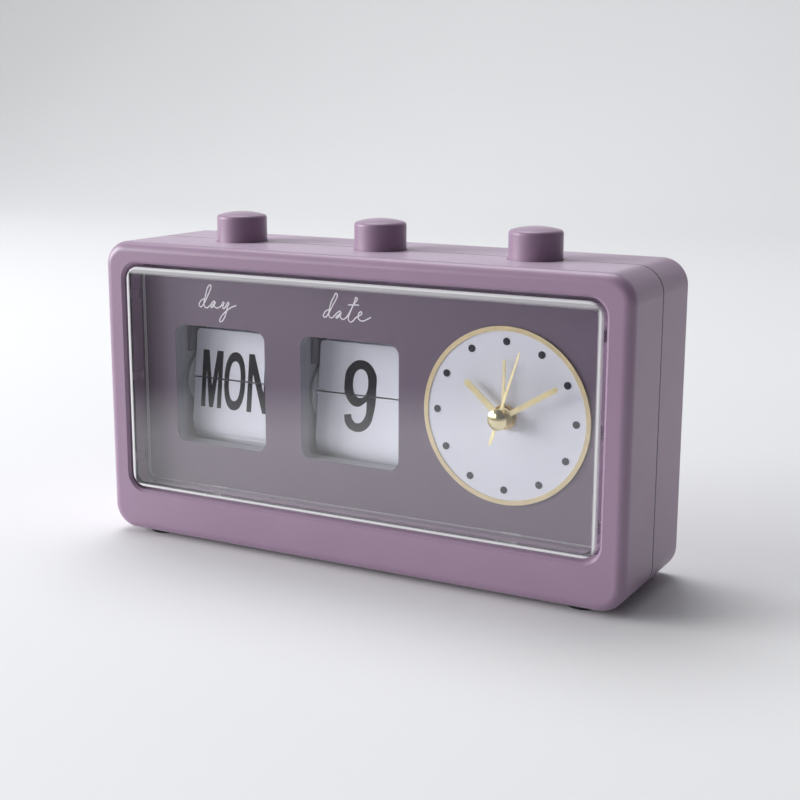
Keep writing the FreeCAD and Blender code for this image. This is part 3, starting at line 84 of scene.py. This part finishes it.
# ---- materials --------------------------------------------------------------------------
class Shader:
    """A material's node tree with a Principled shader and short ways to add to it."""

    def __init__(self, name):
        self.material = bpy.data.materials.new(name)
        self.material.use_nodes = True
        self.tree = self.material.node_tree
        self.shader = self.tree.nodes["Principled BSDF"]
        self.out = self.tree.nodes["Material Output"]
        self.coords = self.add("ShaderNodeTexCoord")

    def add(self, kind, **values):
        node = self.tree.nodes.new(kind)
        for key, value in values.items():
            if hasattr(node, key):
                setattr(node, key, value)
            else:
                node.inputs[key.replace("_", " ")].default_value = value
        return node

    def link(self, source, target):
        self.tree.links.new(source, target)

    def set(self, **values):
        for key, value in values.items():
            self.shader.inputs[key.replace("_", " ")].default_value = value

    def noise(self, size, detail=3.0, stretch=(1, 1, 1)):
        """Noise with features of about a size in metres."""
        mapping = self.add("ShaderNodeMapping")
        mapping.inputs["Scale"].default_value = stretch
        self.link(self.coords.outputs["Object"], mapping.inputs["Vector"])
        texture = self.add("ShaderNodeTexNoise", Scale=1.0 / size, Detail=detail)
        self.link(mapping.outputs["Vector"], texture.inputs["Vector"])
        return texture.outputs["Fac"]

    def tint(self, colour, spread, fac):
        """Colour that drifts a little around a base colour."""
        ramp = self.add("ShaderNodeValToRGB")
        ramp.color_ramp.elements[0].position = 0.35
        ramp.color_ramp.elements[1].position = 0.65
        ramp.color_ramp.elements[0].color = [c * (1 - spread) for c in colour] + [1]
        ramp.color_ramp.elements[1].color = [min(1, c * (1 + spread)) for c in colour] + [1]
        self.link(fac, ramp.inputs["Fac"])
        self.link(ramp.outputs["Color"], self.shader.inputs["Base Color"])
        return ramp.outputs["Color"]

    def axis(self, name):
        """Place along one of the object's axes."""
        split = self.add("ShaderNodeSeparateXYZ")
        self.link(self.coords.outputs["Object"], split.inputs["Vector"])
        return split.outputs[name]

    def fade(self, source, start, end, low=0.0, high=1.0):
        """Value that goes from low to high while the source goes from start to end."""
        span = self.add("ShaderNodeMapRange", To_Min=low, To_Max=high)
        span.inputs["From Min"].default_value = start
        span.inputs["From Max"].default_value = end
        self.link(source, span.inputs["Value"])
        return span.outputs["Result"]

    def feed(self, value, socket):
        """Links an output to a socket, or sets the socket to a plain value."""
        if isinstance(value, bpy.types.NodeSocket):
            self.link(value, socket)
        else:
            socket.default_value = value

    def joined(self, operation, values):
        """One value from several by a math operation."""
        result = values[0]
        for value in values[1:]:
            node = self.add("ShaderNodeMath", operation=operation)
            self.link(result, node.inputs[0])
            self.feed(value, node.inputs[1])
            result = node.outputs["Value"]
        return result

    def base_mix(self, fac, first, second):
        """Base colour that goes from the first to the second colour with a factor."""
        mix = self.add("ShaderNodeMix", data_type="RGBA")
        self.link(fac, mix.inputs[0])
        self.feed(first, mix.inputs[6])
        self.feed(second, mix.inputs[7])
        self.link(mix.outputs[2], self.shader.inputs["Base Color"])

    def rough(self, low, high, fac):
        self.link(self.fade(fac, 0.0, 1.0, low, high), self.shader.inputs["Roughness"])

    def bump(self, fac, height):
        node = self.add("ShaderNodeBump", Strength=1.0, Distance=height)
        self.link(fac, node.inputs["Height"])
        self.link(node.outputs["Normal"], self.shader.inputs["Normal"])

    def grain(self, low, high, height=0.006 * MM):
        """Fine grain of a moulded or painted surface, between two values of roughness."""
        grains = self.noise(0.35 * MM, 4)
        self.rough(low, high, grains)
        self.bump(grains, height)


def plastic(name, colour, rough, height=0.006 * MM, spread=0.03):
    """Moulded plastic with a fine grain."""
    made = Shader(name)
    made.tint(colour, spread, made.noise(14 * MM, 2))
    made.grain(rough - 0.06, rough + 0.06, height)
    return made.material


def soft_paint(name, colour, seam_shade=False):
    """Satin paint with a soft-touch finish, which looks paler at a flat angle.

    With seam_shade, its colour darkens in a narrow band where the two shells meet: painted shade
    for the seam's groove.
    """
    made = Shader(name)
    paint = made.tint(colour, 0.02, made.noise(14 * MM, 2))
    if seam_shade:
        # painted shade: the base colour darkens near the plane where the shells meet
        away = made.add("ShaderNodeMath", operation="ABSOLUTE")
        made.link(made.axis("Y"), away.inputs[0])
        made.base_mix(made.fade(away.outputs["Value"], seam_core, seam_soft),
                      [c * seam_shade_tone for c in colour] + [1], paint)
    made.grain(0.40, 0.52)
    made.set(Coat_Weight=0.3, Coat_Roughness=0.22)
    made.set(Sheen_Weight=0.3, Sheen_Roughness=0.3, Sheen_Tint=(0.95, 0.87, 1.0, 1))
    return made.material


def metal(name, colour, rough, stretch=(1, 1, 1)):
    """Metal with a fine finish, which stretch can draw out into brushing along an axis."""
    made = Shader(name)
    made.tint(colour, 0.05, made.noise(3 * MM, 3))
    brushing = made.noise(0.4 * MM, 3, stretch)
    made.rough(rough - 0.07, rough + 0.07, brushing)
    made.bump(brushing, 0.002 * MM)
    made.set(Metallic=1.0)
    return made.material


def capped_hand(name, colour):
    """Gold that is polished on the cap in the middle and satin on the hand around it."""
    made = Shader(name)
    made.tint(colour, 0.05, made.noise(3 * MM, 3))
    flat = made.add("ShaderNodeVectorMath", operation="MULTIPLY")
    flat.inputs[1].default_value = (1, 0, 1)
    made.link(made.coords.outputs["Object"], flat.inputs[0])
    reach = made.add("ShaderNodeVectorMath", operation="DISTANCE")
    reach.inputs[1].default_value = (dial_x, 0, dial_z)
    made.link(flat.outputs["Vector"], reach.inputs[0])
    polish = made.fade(reach.outputs["Value"], cap_radius, cap_radius + cap_blend, 0.15, 0.5)
    made.link(polish, made.shader.inputs["Roughness"])
    made.bump(made.noise(0.4 * MM), 0.001 * MM)
    made.set(Metallic=1.0)
    return made.material


def printed(name, colour):
    """Thin ink with a slightly uneven lay."""
    made = Shader(name)
    made.tint(colour, 0.08, made.noise(1.2 * MM, 3))
    made.rough(0.40, 0.53, made.noise(0.3 * MM, 2))
    made.set(Specular_IOR_Level=0.15)
    return made.material


def border(made, axis, edge, inward):
    """Fades from one at an edge to zero at a distance inward, along one of the object's axes."""
    return made.fade(made.axis(axis), edge + inward, edge + inward * highlight_core)


def clear_plastic(name):
    """Clear polystyrene with a painted highlight: pale diffuse white is mixed in along its edges.

    Light that falls on what is behind it passes straight through.
    """
    made = Shader(name)
    made.set(Transmission_Weight=1.0, IOR=1.72)
    made.shader.inputs["Base Color"].default_value = (0.985, 0.98, 0.99, 1)
    made.rough(0.0, 0.02, made.noise(6 * MM, 2))
    made.bump(made.noise(25 * MM, 1), 0.01 * MM)
    clear = made.add("ShaderNodeBsdfTransparent")
    path = made.add("ShaderNodeLightPath")
    either = made.add("ShaderNodeMath", operation="MAXIMUM")
    mix = made.add("ShaderNodeMixShader")
    made.link(path.outputs["Is Shadow Ray"], either.inputs[0])
    made.link(path.outputs["Is Diffuse Ray"], either.inputs[1])
    low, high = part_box("lens_cover")
    left, right, front = low[0] + rib_reach, high[0] - rib_reach, low[1]
    band_highlight = made.joined("MULTIPLY", [border(made, "Z", opening_high, -highlight_band), band_share])
    outline = made.joined("MAXIMUM", [border(made, "X", left, highlight_left),
                                      border(made, "X", right, -highlight_right),
                                      border(made, "Z", opening_low, highlight_low),
                                      border(made, "Z", opening_high, -highlight_high), band_highlight])
    front_highlight = made.joined("MULTIPLY", [outline, border(made, "Y", front, front_depth)])
    back_highlight = made.joined("MULTIPLY", [border(made, "Y", fascia_front, -back_depth),
                                        back_share])
    share = made.joined("MULTIPLY", [made.joined("MAXIMUM", [front_highlight, back_highlight]), highlight_share])
    # painted highlight: a pale diffuse white that hides the clear plastic along the lens's edges
    pale = made.add("ShaderNodeBsdfDiffuse")
    pale.inputs["Color"].default_value = (0.93, 0.93, 0.95, 1)
    rim = made.add("ShaderNodeMixShader")
    made.link(share, rim.inputs["Fac"])
    made.link(made.shader.outputs["BSDF"], rim.inputs[1])
    made.link(pale.outputs["BSDF"], rim.inputs[2])
    made.link(either.outputs["Value"], mix.inputs["Fac"])
    made.link(rim.outputs["Shader"], mix.inputs[1])
    made.link(clear.outputs["BSDF"], mix.inputs[2])
    made.link(mix.outputs["Shader"], made.out.inputs["Surface"])
    return made.material


def painted_front(name, paint, bare):
    """Plastic that is painted on its front face only."""
    made = Shader(name)
    colour = made.tint(paint, 0.02, made.noise(14 * MM, 2))
    made.base_mix(made.fade(made.axis("Y"), fascia_front + paint_low, fascia_front + paint_high),
                  colour, bare + (1,))
    made.grain(0.40, 0.52)
    return made.material


mauve = (0.338, 0.225, 0.332)
case_paint = soft_paint("case_mauve", mauve, seam_shade=True)
button_paint = soft_paint("button_mauve", mauve)
fascia_paint = painted_front("fascia_mauve", (0.129, 0.093, 0.141), (0.36, 0.365, 0.405))
lens = clear_plastic("lens_clear")
dial_white = plastic("dial_white", (0.73, 0.745, 0.83), rough=0.55, height=0.003 * MM, spread=0.01)
leaf_white = plastic("leaf_white", (0.80, 0.815, 0.905), rough=0.4, height=0.002 * MM, spread=0.012)
gold = metal("gold_hand", (0.86, 0.75, 0.45), rough=0.34, stretch=(1, 1, 0.1))
gold_ring = metal("gold_ring", (0.62, 0.52, 0.33), rough=0.42)
gold_cap = capped_hand("gold_cap", (0.86, 0.76, 0.46))
alarm_gold = metal("gold_pale", (0.72, 0.64, 0.42), rough=0.45)
brass = metal("brass_bush", (0.70, 0.52, 0.26), rough=0.25)
ink = printed("ink_black", (0.012, 0.011, 0.016))
dot_ink = printed("ink_grey", (0.030, 0.030, 0.042))
white_ink = printed("ink_white", (0.86, 0.84, 0.88))
grey = plastic("frame_grey", (0.42, 0.425, 0.465), rough=0.4)
disc_grey = plastic("drum_grey", (0.50, 0.51, 0.54), rough=0.4)
# The leaf guides' dark grey is partly painted shade: it also stands in for the shaded gap beside
# the leaves.
dark = plastic("guide_dark", (0.20, 0.20, 0.225), rough=0.5)
black = plastic("movement_black", (0.02, 0.02, 0.022), rough=0.5)
natural = plastic("gear_natural", (0.72, 0.71, 0.66), rough=0.35)
steel = metal("steel", (0.56, 0.57, 0.59), rough=0.32)
copper = metal("copper_wire", (0.70, 0.33, 0.17), rough=0.3, stretch=(20, 1, 1))
board = plastic("circuit_green", (0.03, 0.14, 0.06), rough=0.3, spread=0.1)
cell_wrap = plastic("cell_wrap", (0.10, 0.12, 0.16), rough=0.3, spread=0.05)
rubber = plastic("rubber_black", (0.02, 0.02, 0.022), rough=0.8, height=0.01 * MM)

finishes = {
    case_paint: ["front_shell", "rear_shell"],
    button_paint: ["day_button", "date_button", "alarm_button", "time_knob", "alarm_knob",
                   "battery_door"],
    fascia_paint: ["fascia_panel"],
    lens: ["lens_cover"],
    dial_white: ["dial_plate"],
    leaf_white: ["day_leaves", "date_leaves", "day_flap", "date_flap"],
    gold: ["hour_hand", "minute_hand"],
    gold_ring: ["dial_ring"],
    gold_cap: ["second_hand"],
    alarm_gold: ["alarm_hand"],
    brass: ["centre_bush", "buzzer"],
    dot_ink: ["hour_dots"],
    grey: ["day_frame", "date_frame", "stop_plunger"],
    disc_grey: ["day_drum", "date_drum"],
    dark: ["leaf_guides"],
    black: ["movement_case", "movement_cover"],
    natural: ["day_ratchet", "date_ratchet", "day_push_arm", "date_push_arm", "alarm_wheel",
              "hour_wheel", "minute_pinion", "motion_wheel", "centre_wheel", "third_wheel",
              "seconds_wheel", "fifth_wheel"],
    steel: ["panel_screws", "case_screws", "day_axle", "date_axle", "day_click_spring",
            "date_click_spring", "day_button_spring", "date_button_spring",
            "alarm_button_spring", "rotor", "stator", "quartz_crystal", "battery_contacts"],
    copper: ["coil"],
    board: ["circuit_board"],
    cell_wrap: ["battery"],
    rubber: ["rubber_feet"],
}
for material, names in finishes.items():
    for name in names:
        data = nodes[name].data
        data.materials.clear()
        data.materials.append(material)


# ---- prints on the leaves ---------------------------------------------------------------
def add_object(name, data):
    """A new object in the scene."""
    made = bpy.data.objects.new(name, data)
    bpy.context.scene.collection.objects.link(made)
    return made


def curve_mesh(curve):
    """The mesh of a curve, which isn't needed after that."""
    helper = bpy.data.objects.new(curve.name + "_line", curve)
    mesh = bpy.data.meshes.new_from_object(helper)
    bpy.data.objects.remove(helper)
    bpy.data.curves.remove(curve)
    return mesh


def outline_curve(name, contours):
    """A filled flat curve. Each contour is a list of (x, z, corner) in millimetres."""
    data = bpy.data.curves.new(name, "CURVE")
    data.dimensions = "2D"
    data.fill_mode = "BOTH"
    data.resolution_u = 10
    for contour in contours:
        spline = data.splines.new("BEZIER")
        spline.bezier_points.add(len(contour) - 1)
        spline.use_cyclic_u = True
        for point, (x, z, corner) in zip(spline.bezier_points, contour):
            point.co = (x * MM, z * MM, 0)
            kind = "VECTOR" if corner else "AUTO"
            point.handle_left_type = kind
            point.handle_right_type = kind
    return data


def corners(points):
    return [(x, z, True) for x, z in points]


def oval(cx, cz, rx, rz, power=2.3):
    """A loop of 16 points, round for a power of 2 and more square above it."""
    loop = []
    for index in range(16):
        turn = 2 * math.pi * index / 16
        c, s = math.cos(turn), math.sin(turn)
        x = cx + rx * math.copysign(abs(c) ** (2 / power), c)
        z = cz + rz * math.copysign(abs(s) ** (2 / power), s)
        loop.append((x, z, False))
    return loop


def scaled(contours, x0, z0, width, height):
    """Contours drawn in a unit box, set into a box in millimetres."""
    return [[(x0 + x * width, z0 + z * height, corner) for x, z, corner in contour]
            for contour in contours]


glyphs = {
    "M": [corners([(0, 0), (0.21, 0), (0.21, 0.64), (0.40, 0), (0.60, 0), (0.79, 0.64),
                   (0.79, 0), (1, 0), (1, 1), (0.70, 1), (0.50, 0.38), (0.30, 1), (0, 1)])],
    "N": [corners([(0, 0), (0.23, 0), (0.23, 0.66), (0.76, 0), (1, 0), (1, 1), (0.77, 1),
                   (0.77, 0.36), (0.27, 1), (0, 1)])],
    "O": [oval(0.5, 0.5, 0.5, 0.505), oval(0.5, 0.5, 0.275, 0.345)],
    "T": [corners([(0.38, 0), (0.62, 0), (0.62, 0.86), (1, 0.86), (1, 1), (0, 1), (0, 0.86),
                   (0.38, 0.86)])],
    "E": [corners([(0, 0), (1, 0), (1, 0.14), (0.26, 0.14), (0.26, 0.44), (0.90, 0.44),
                   (0.90, 0.57), (0.26, 0.57), (0.26, 0.86), (0.98, 0.86), (0.98, 1), (0, 1)])],
    "U": [[(0, 1, True), (0.25, 1, True), (0.25, 0.34, True), (0.30, 0.19, False),
           (0.5, 0.135, False), (0.70, 0.19, False), (0.75, 0.34, True), (0.75, 1, True),
           (1, 1, True), (1, 0.34, True), (0.90, 0.10, False), (0.5, -0.01, False),
           (0.10, 0.10, False), (0, 0.34, True)]],
    "0": [oval(0.5, 0.5, 0.5, 0.5), oval(0.5, 0.5, 0.24, 0.36)],
    "1": [corners([(0.42, 0), (0.72, 0), (0.72, 1), (0.50, 1), (0.14, 0.80), (0.14, 0.66),
                   (0.42, 0.80)])],
    "9": [[(0.04, 0.215, True), (0.12, 0.08, False), (0.44, -0.005, False), (0.80, 0.07, False),
           (0.97, 0.30, False), (1.0, 0.58, False), (0.93, 0.86, False), (0.52, 1.0, False),
           (0.12, 0.90, False), (0.0, 0.67, False), (0.10, 0.45, False), (0.42, 0.345, False),
           (0.73, 0.43, True), (0.68, 0.20, False), (0.47, 0.115, False), (0.30, 0.17, False),
           (0.265, 0.235, True)],
          oval(0.505, 0.672, 0.235, 0.20, 2.2)],
}


def word(name, letters):
    """Flat mesh of a word. letters is a list of (glyph, x0, z0, width, height) in millimetres."""
    contours = []
    for glyph, x0, z0, width, height in letters:
        contours += scaled(glyphs[glyph], x0, z0, width, height)
    return curve_mesh(outline_curve(name, contours))


def half_print(name, mesh, module, upper, behind, body):
    """One half of a word, on a leaf's front, or on the back of the leaf that falls in front.

    behind is the angle that the leaf has yet to turn before it comes into view.
    """
    bm = bmesh.new()
    bm.from_mesh(mesh)
    pin = leaf_pin(module, upper)
    split_z = (leaf_pin(module, True).z + leaf_pin(module, False).z) / 2 - foot_height
    edge = split_z + (0.5 if upper else -0.5) * leaf_split
    bmesh.ops.bisect_plane(bm, geom=bm.verts[:] + bm.edges[:] + bm.faces[:],
                           plane_co=(0, edge, 0), plane_no=(0, 1, 0),
                           clear_inner=upper, clear_outer=not upper)
    depth = pin.y - leaf_sheet / 2 - ink_lay
    for vert in bm.verts:
        vert.co = Vector((vert.co.x, depth, vert.co.y + foot_height))
    made = bmesh.ops.extrude_face_region(bm, geom=bm.faces[:])
    bmesh.ops.translate(bm, vec=(0, ink_lay * ink_share, 0),
                        verts=[v for v in made["geom"] if isinstance(v, bmesh.types.BMVert)])
    bmesh.ops.recalc_face_normals(bm, faces=bm.faces[:])
    bm.transform(turned(drum_axis[module], -behind) @ turned(pin, -leaf_lean))
    result = bpy.data.meshes.new(name)
    bm.to_mesh(result)
    bm.free()
    piece = add_object(name, result)
    result.materials.append(ink)
    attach(piece, body)
    return piece


def flap_back_print(name, mesh, module, body):
    """The lower half of the next word, on the back of the waiting upper leaf, upside down."""
    piece = half_print(name, mesh, module, False, 0, body)
    undo_drum = turned(drum_axis[module], -step[module])
    undo_fall = turned(leaf_pin(module, True), step[module] - math.pi)
    piece.data.transform(undo_fall @ undo_drum)


day_letters = [("M", -64.8, 40.5, 8.1, 18.9), ("O", -55.9, 40.5, 8.3, 18.9),
               ("N", -46.6, 40.5, 8.1, 18.9)]
next_day_letters = [("T", -64.8, 40.5, 8.1, 18.9), ("U", -55.7, 40.5, 8.1, 18.9),
                    ("E", -46.4, 40.5, 7.4, 18.9)]
date_letters = [("9", -10.2, 38.8, 11.5, 22.4)]
next_date_letters = [("1", -16.2, 38.8, 11.5, 22.4), ("0", -4.6, 38.8, 11.5, 22.4)]
for module, now, later in (("day", day_letters, next_day_letters),
                           ("date", date_letters, next_date_letters)):
    shown = word(module + "_now", now)
    waiting = word(module + "_next", later)
    half_print(module + "_print_upper", shown, module, True, 0, module + "_flap")
    half_print(module + "_print_lower", shown, module, False, 0, module + "_drum")
    half_print(module + "_next_upper", waiting, module, True, step[module], module + "_drum")
    flap_back_print(module + "_next_lower", waiting, module, module + "_flap")


# ---- lettering on the fascia ------------------------------------------------------------
day_strokes = [
    [(2.6, 8.5), (1.4, 8.0), (0.3, 6.9), (0.0, 5.9), (0.7, 5.4), (1.7, 6.3), (2.6, 7.5),
     (3.4, 9.1), (4.4, 10.9), (5.0, 12.4), (4.8, 13.3), (4.1, 12.9), (3.1, 10.8), (2.5, 8.6),
     (2.0, 6.7), (2.3, 5.6), (3.1, 5.2), (4.1, 5.8), (5.4, 7.1), (6.2, 7.8), (6.6, 7.5),
     (5.3, 6.2), (4.9, 5.5), (5.8, 6.0), (6.6, 7.4), (6.2, 6.2), (7.0, 5.5), (8.1, 5.7),
     (9.2, 6.5), (10.2, 7.7), (9.8, 6.5), (9.9, 5.5), (10.9, 6.3), (12.1, 7.7), (11.6, 6.2),
     (11.1, 4.3), (10.3, 2.4), (9.2, 1.0), (8.4, 0.8), (8.6, 2.0), (9.8, 3.5), (11.4, 4.9),
     (13.3, 6.2), (15.2, 6.9)]]
date_strokes = [
    [(2.2, 4.6), (1.2, 4.2), (0.3, 3.0), (0.1, 2.1), (0.8, 1.8), (1.7, 2.8), (2.7, 4.6),
     (3.7, 6.6), (4.8, 8.6), (5.2, 9.9), (4.8, 10.6), (4.0, 9.3), (2.9, 7.1), (2.3, 4.6),
     (2.1, 2.8), (2.5, 1.9), (3.2, 1.8), (4.1, 2.6), (5.3, 3.9), (6.1, 4.4), (6.4, 4.0),
     (5.3, 2.7), (4.7, 1.9), (5.7, 2.5), (6.4, 3.8), (6.2, 2.6), (7.0, 1.6), (8.0, 2.0),
     (9.0, 3.3), (10.3, 5.7), (11.3, 8.1), (12.1, 9.7), (10.8, 6.8), (9.5, 3.5), (9.1, 1.9),
     (9.7, 0.9), (10.5, 1.1), (11.7, 2.5), (12.9, 3.3), (13.9, 4.2), (13.7, 4.8), (13.0, 4.4),
     (12.6, 3.3), (12.8, 2.2), (14.0, 1.6), (15.4, 2.1), (17.1, 3.2)],
    [(9.0, 6.9), (12.9, 7.1)]]


def script(name, strokes, x0, z0, width, height):
    """A handwritten word in white ink on the fascia. Strokes are in millimetres.

    pen is half the stroke's width, and lay is the ink's thickness.
    """
    pen, lay = 0.2 * MM, 0.03 * MM
    data = bpy.data.curves.new(name, "CURVE")
    data.dimensions = "3D"
    data.bevel_depth = pen
    data.bevel_resolution = 2
    data.resolution_u = 6
    data.use_fill_caps = True
    for stroke in strokes:
        spline = data.splines.new("BEZIER")
        spline.bezier_points.add(len(stroke) - 1)
        for point, (x, z) in zip(spline.bezier_points, stroke):
            point.co = ((x0 + x * width) * MM, (z0 + z * height) * MM, 0)
            point.handle_left_type = "AUTO"
            point.handle_right_type = "AUTO"
    mesh = curve_mesh(data)
    for vert in mesh.vertices:
        depth = fascia_front - lay * (1 - vert.co.z / pen) / 2
        vert.co = Vector((vert.co.x, depth, vert.co.y + foot_height))
    piece = add_object(name, mesh)
    mesh.materials.append(white_ink)
    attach(piece, "case")


script("day_script", day_strokes, -58.3, 70.35, width=0.95, height=0.92)
script("date_script", date_strokes, -11.8, 74.0, width=0.98, height=0.86)


# ---- studio -----------------------------------------------------------------------------
# A dark patch painted on the floor at the front left is painted shade: it stands in for the unlit
# room past the table's edge, which the lens and the fascia mirror.
# Its side towards the clock runs along y = shade_edge - shade_slope * x. It ends at x =
# shade_right, and at shade_reach in x and in y. From there shade_fade and shade_soft are the widths
# of the blend.
shade_edge, shade_slope, shade_fade = -0.3466, 0.547, 0.115
shade_right, shade_reach, shade_soft = 0.14, -1.0, 0.25
painted_shade_colour = (0.06, 0.056, 0.066, 1)


def stage_material(name, colour):
    """Pale card with a faint drift of tone, and the soft shape of the painted shade on it."""
    made = Shader(name)
    card = made.tint(colour, 0.01, made.noise(0.5, 2))
    along = made.add("ShaderNodeVectorMath", operation="DOT_PRODUCT")
    along.inputs[1].default_value = (shade_slope, 1, 0)
    made.link(made.coords.outputs["Object"], along.inputs[0])
    fades = [made.fade(along.outputs["Value"], shade_edge, shade_edge + shade_fade),
             made.fade(made.axis("X"), shade_right, shade_right + shade_soft),
             made.fade(made.axis("X"), shade_reach, shade_reach - shade_soft),
             made.fade(made.axis("Y"), shade_reach, shade_reach - shade_soft)]
    made.base_mix(made.joined("MAXIMUM", fades), painted_shade_colour, card)
    made.set(Roughness=0.9, Specular_IOR_Level=0.1)
    return made.material


def sweep():
    """Floor and backdrop in one curved sheet."""
    bm = bmesh.new()
    radius, back, top, reach, parts = 1.2, 2.2, 3.2, 9.0, 16
    profile = [(-reach, 0.0), (back - radius, 0.0)]
    for index in range(1, parts + 1):
        turn = math.radians(90 * index / parts)
        profile.append((back - radius + radius * math.sin(turn), radius * (1 - math.cos(turn))))
    profile.append((back, top))
    rows = []
    for x in (-reach, reach):
        rows.append([bm.verts.new((x, y, z)) for y, z in profile])
    for index in range(len(profile) - 1):
        bm.faces.new((rows[0][index], rows[1][index], rows[1][index + 1], rows[0][index + 1]))
    mesh = bpy.data.meshes.new("sweep")
    bm.to_mesh(mesh)
    bm.free()
    for face in mesh.polygons:
        face.use_smooth = True
    mesh.materials.append(stage_material("floor_pale", (0.815, 0.82, 0.83)))
    return add_object("sweep", mesh)


sweep()

# The room is bright behind and to the left of the clock and dark in front of it. It goes from
# dark to light while the cosine of the angle to its bright side goes from 0 to room_full.
room_bright_side, room_full = (-0.6, 0.6, 0.5), 0.8
room_dark = (0.04, 0.04, 0.04 * 1.05, 1)
room_light = (0.68, 0.68, 0.68 * 1.03, 1)

world = bpy.data.worlds.new("studio")
bpy.context.scene.world = world
world.use_nodes = True
world_tree = world.node_tree
room = world_tree.nodes["Background"]
coords = world_tree.nodes.new("ShaderNodeTexCoord")
slant = world_tree.nodes.new("ShaderNodeVectorMath")
slant.operation = "DOT_PRODUCT"
slant.inputs[1].default_value = Vector(room_bright_side).normalized()
tones = world_tree.nodes.new("ShaderNodeValToRGB")
tones.color_ramp.elements[0].position = 0.0
tones.color_ramp.elements[0].color = room_dark
tones.color_ramp.elements[1].position = room_full
tones.color_ramp.elements[1].color = room_light
world_tree.links.new(coords.outputs["Generated"], slant.inputs[0])
world_tree.links.new(slant.outputs["Value"], tones.inputs["Fac"])
world_tree.links.new(tones.outputs["Color"], room.inputs["Color"])
room.inputs["Strength"].default_value = 1.0


def lamp(name, place, target, size, power, colour=(1, 1, 1)):
    """Soft lamp of a size in metres that points from its place at a target."""
    data = bpy.data.lights.new(name, "AREA")
    data.shape = "RECTANGLE"
    data.size, data.size_y = size
    data.energy = power
    data.color = colour
    made = add_object(name, data)
    made.location = place
    made.rotation_euler = (Vector(target) - Vector(place)).to_track_quat("-Z", "Y").to_euler()


lamp("window_left", (-1.30, -0.62, 0.40), (0, 0, 0.05), (0.9, 0.6), 20.5)
lamp("fill_left", (-0.7, -1.0, 0.3), (-0.08, 0, 0.05), (0.5, 0.3), 2.0)
lamp("softbox_top", (-0.55, 0.5, 1.85), (-0.05, 0.1, 0), (1.3, 1.2), 22.5, (0.98, 0.985, 1.0))
lamp("backdrop_wash", (-2.2, 1.1, 1.5), (-2.4, 2.1, 0.4), (2.4, 0.6), 8)

# ---- camera, fitted to the photograph ---------------------------------------------------
azimuth, elevation, roll = math.radians(28.71), math.radians(12.08), math.radians(0.19)
camera_place = Vector((0.21709, -0.38505, 0.14408))
focal_pixels, frame_pixels, sensor = 1438.86, 800.0, 36.0
back = Vector((math.sin(azimuth) * math.cos(elevation),
               -math.cos(azimuth) * math.cos(elevation), math.sin(elevation)))
right = (-back).cross(Vector((0, 0, 1))).normalized()
up = right.cross(-back)
right_rolled = right * math.cos(roll) + up * math.sin(roll)
up_rolled = up * math.cos(roll) - right * math.sin(roll)
camera_data = bpy.data.cameras.new("camera")
camera_data.sensor_width = sensor
camera_data.lens = focal_pixels / frame_pixels * sensor
camera_data.clip_start = 0.01
camera = add_object("camera", camera_data)
camera.matrix_world = Matrix((
    (right_rolled.x, up_rolled.x, back.x, camera_place.x),
    (right_rolled.y, up_rolled.y, back.y, camera_place.y),
    (right_rolled.z, up_rolled.z, back.z, camera_place.z),
    (0, 0, 0, 1)))
bpy.context.scene.camera = camera
bpy.context.scene.view_settings.view_transform = "Standard"
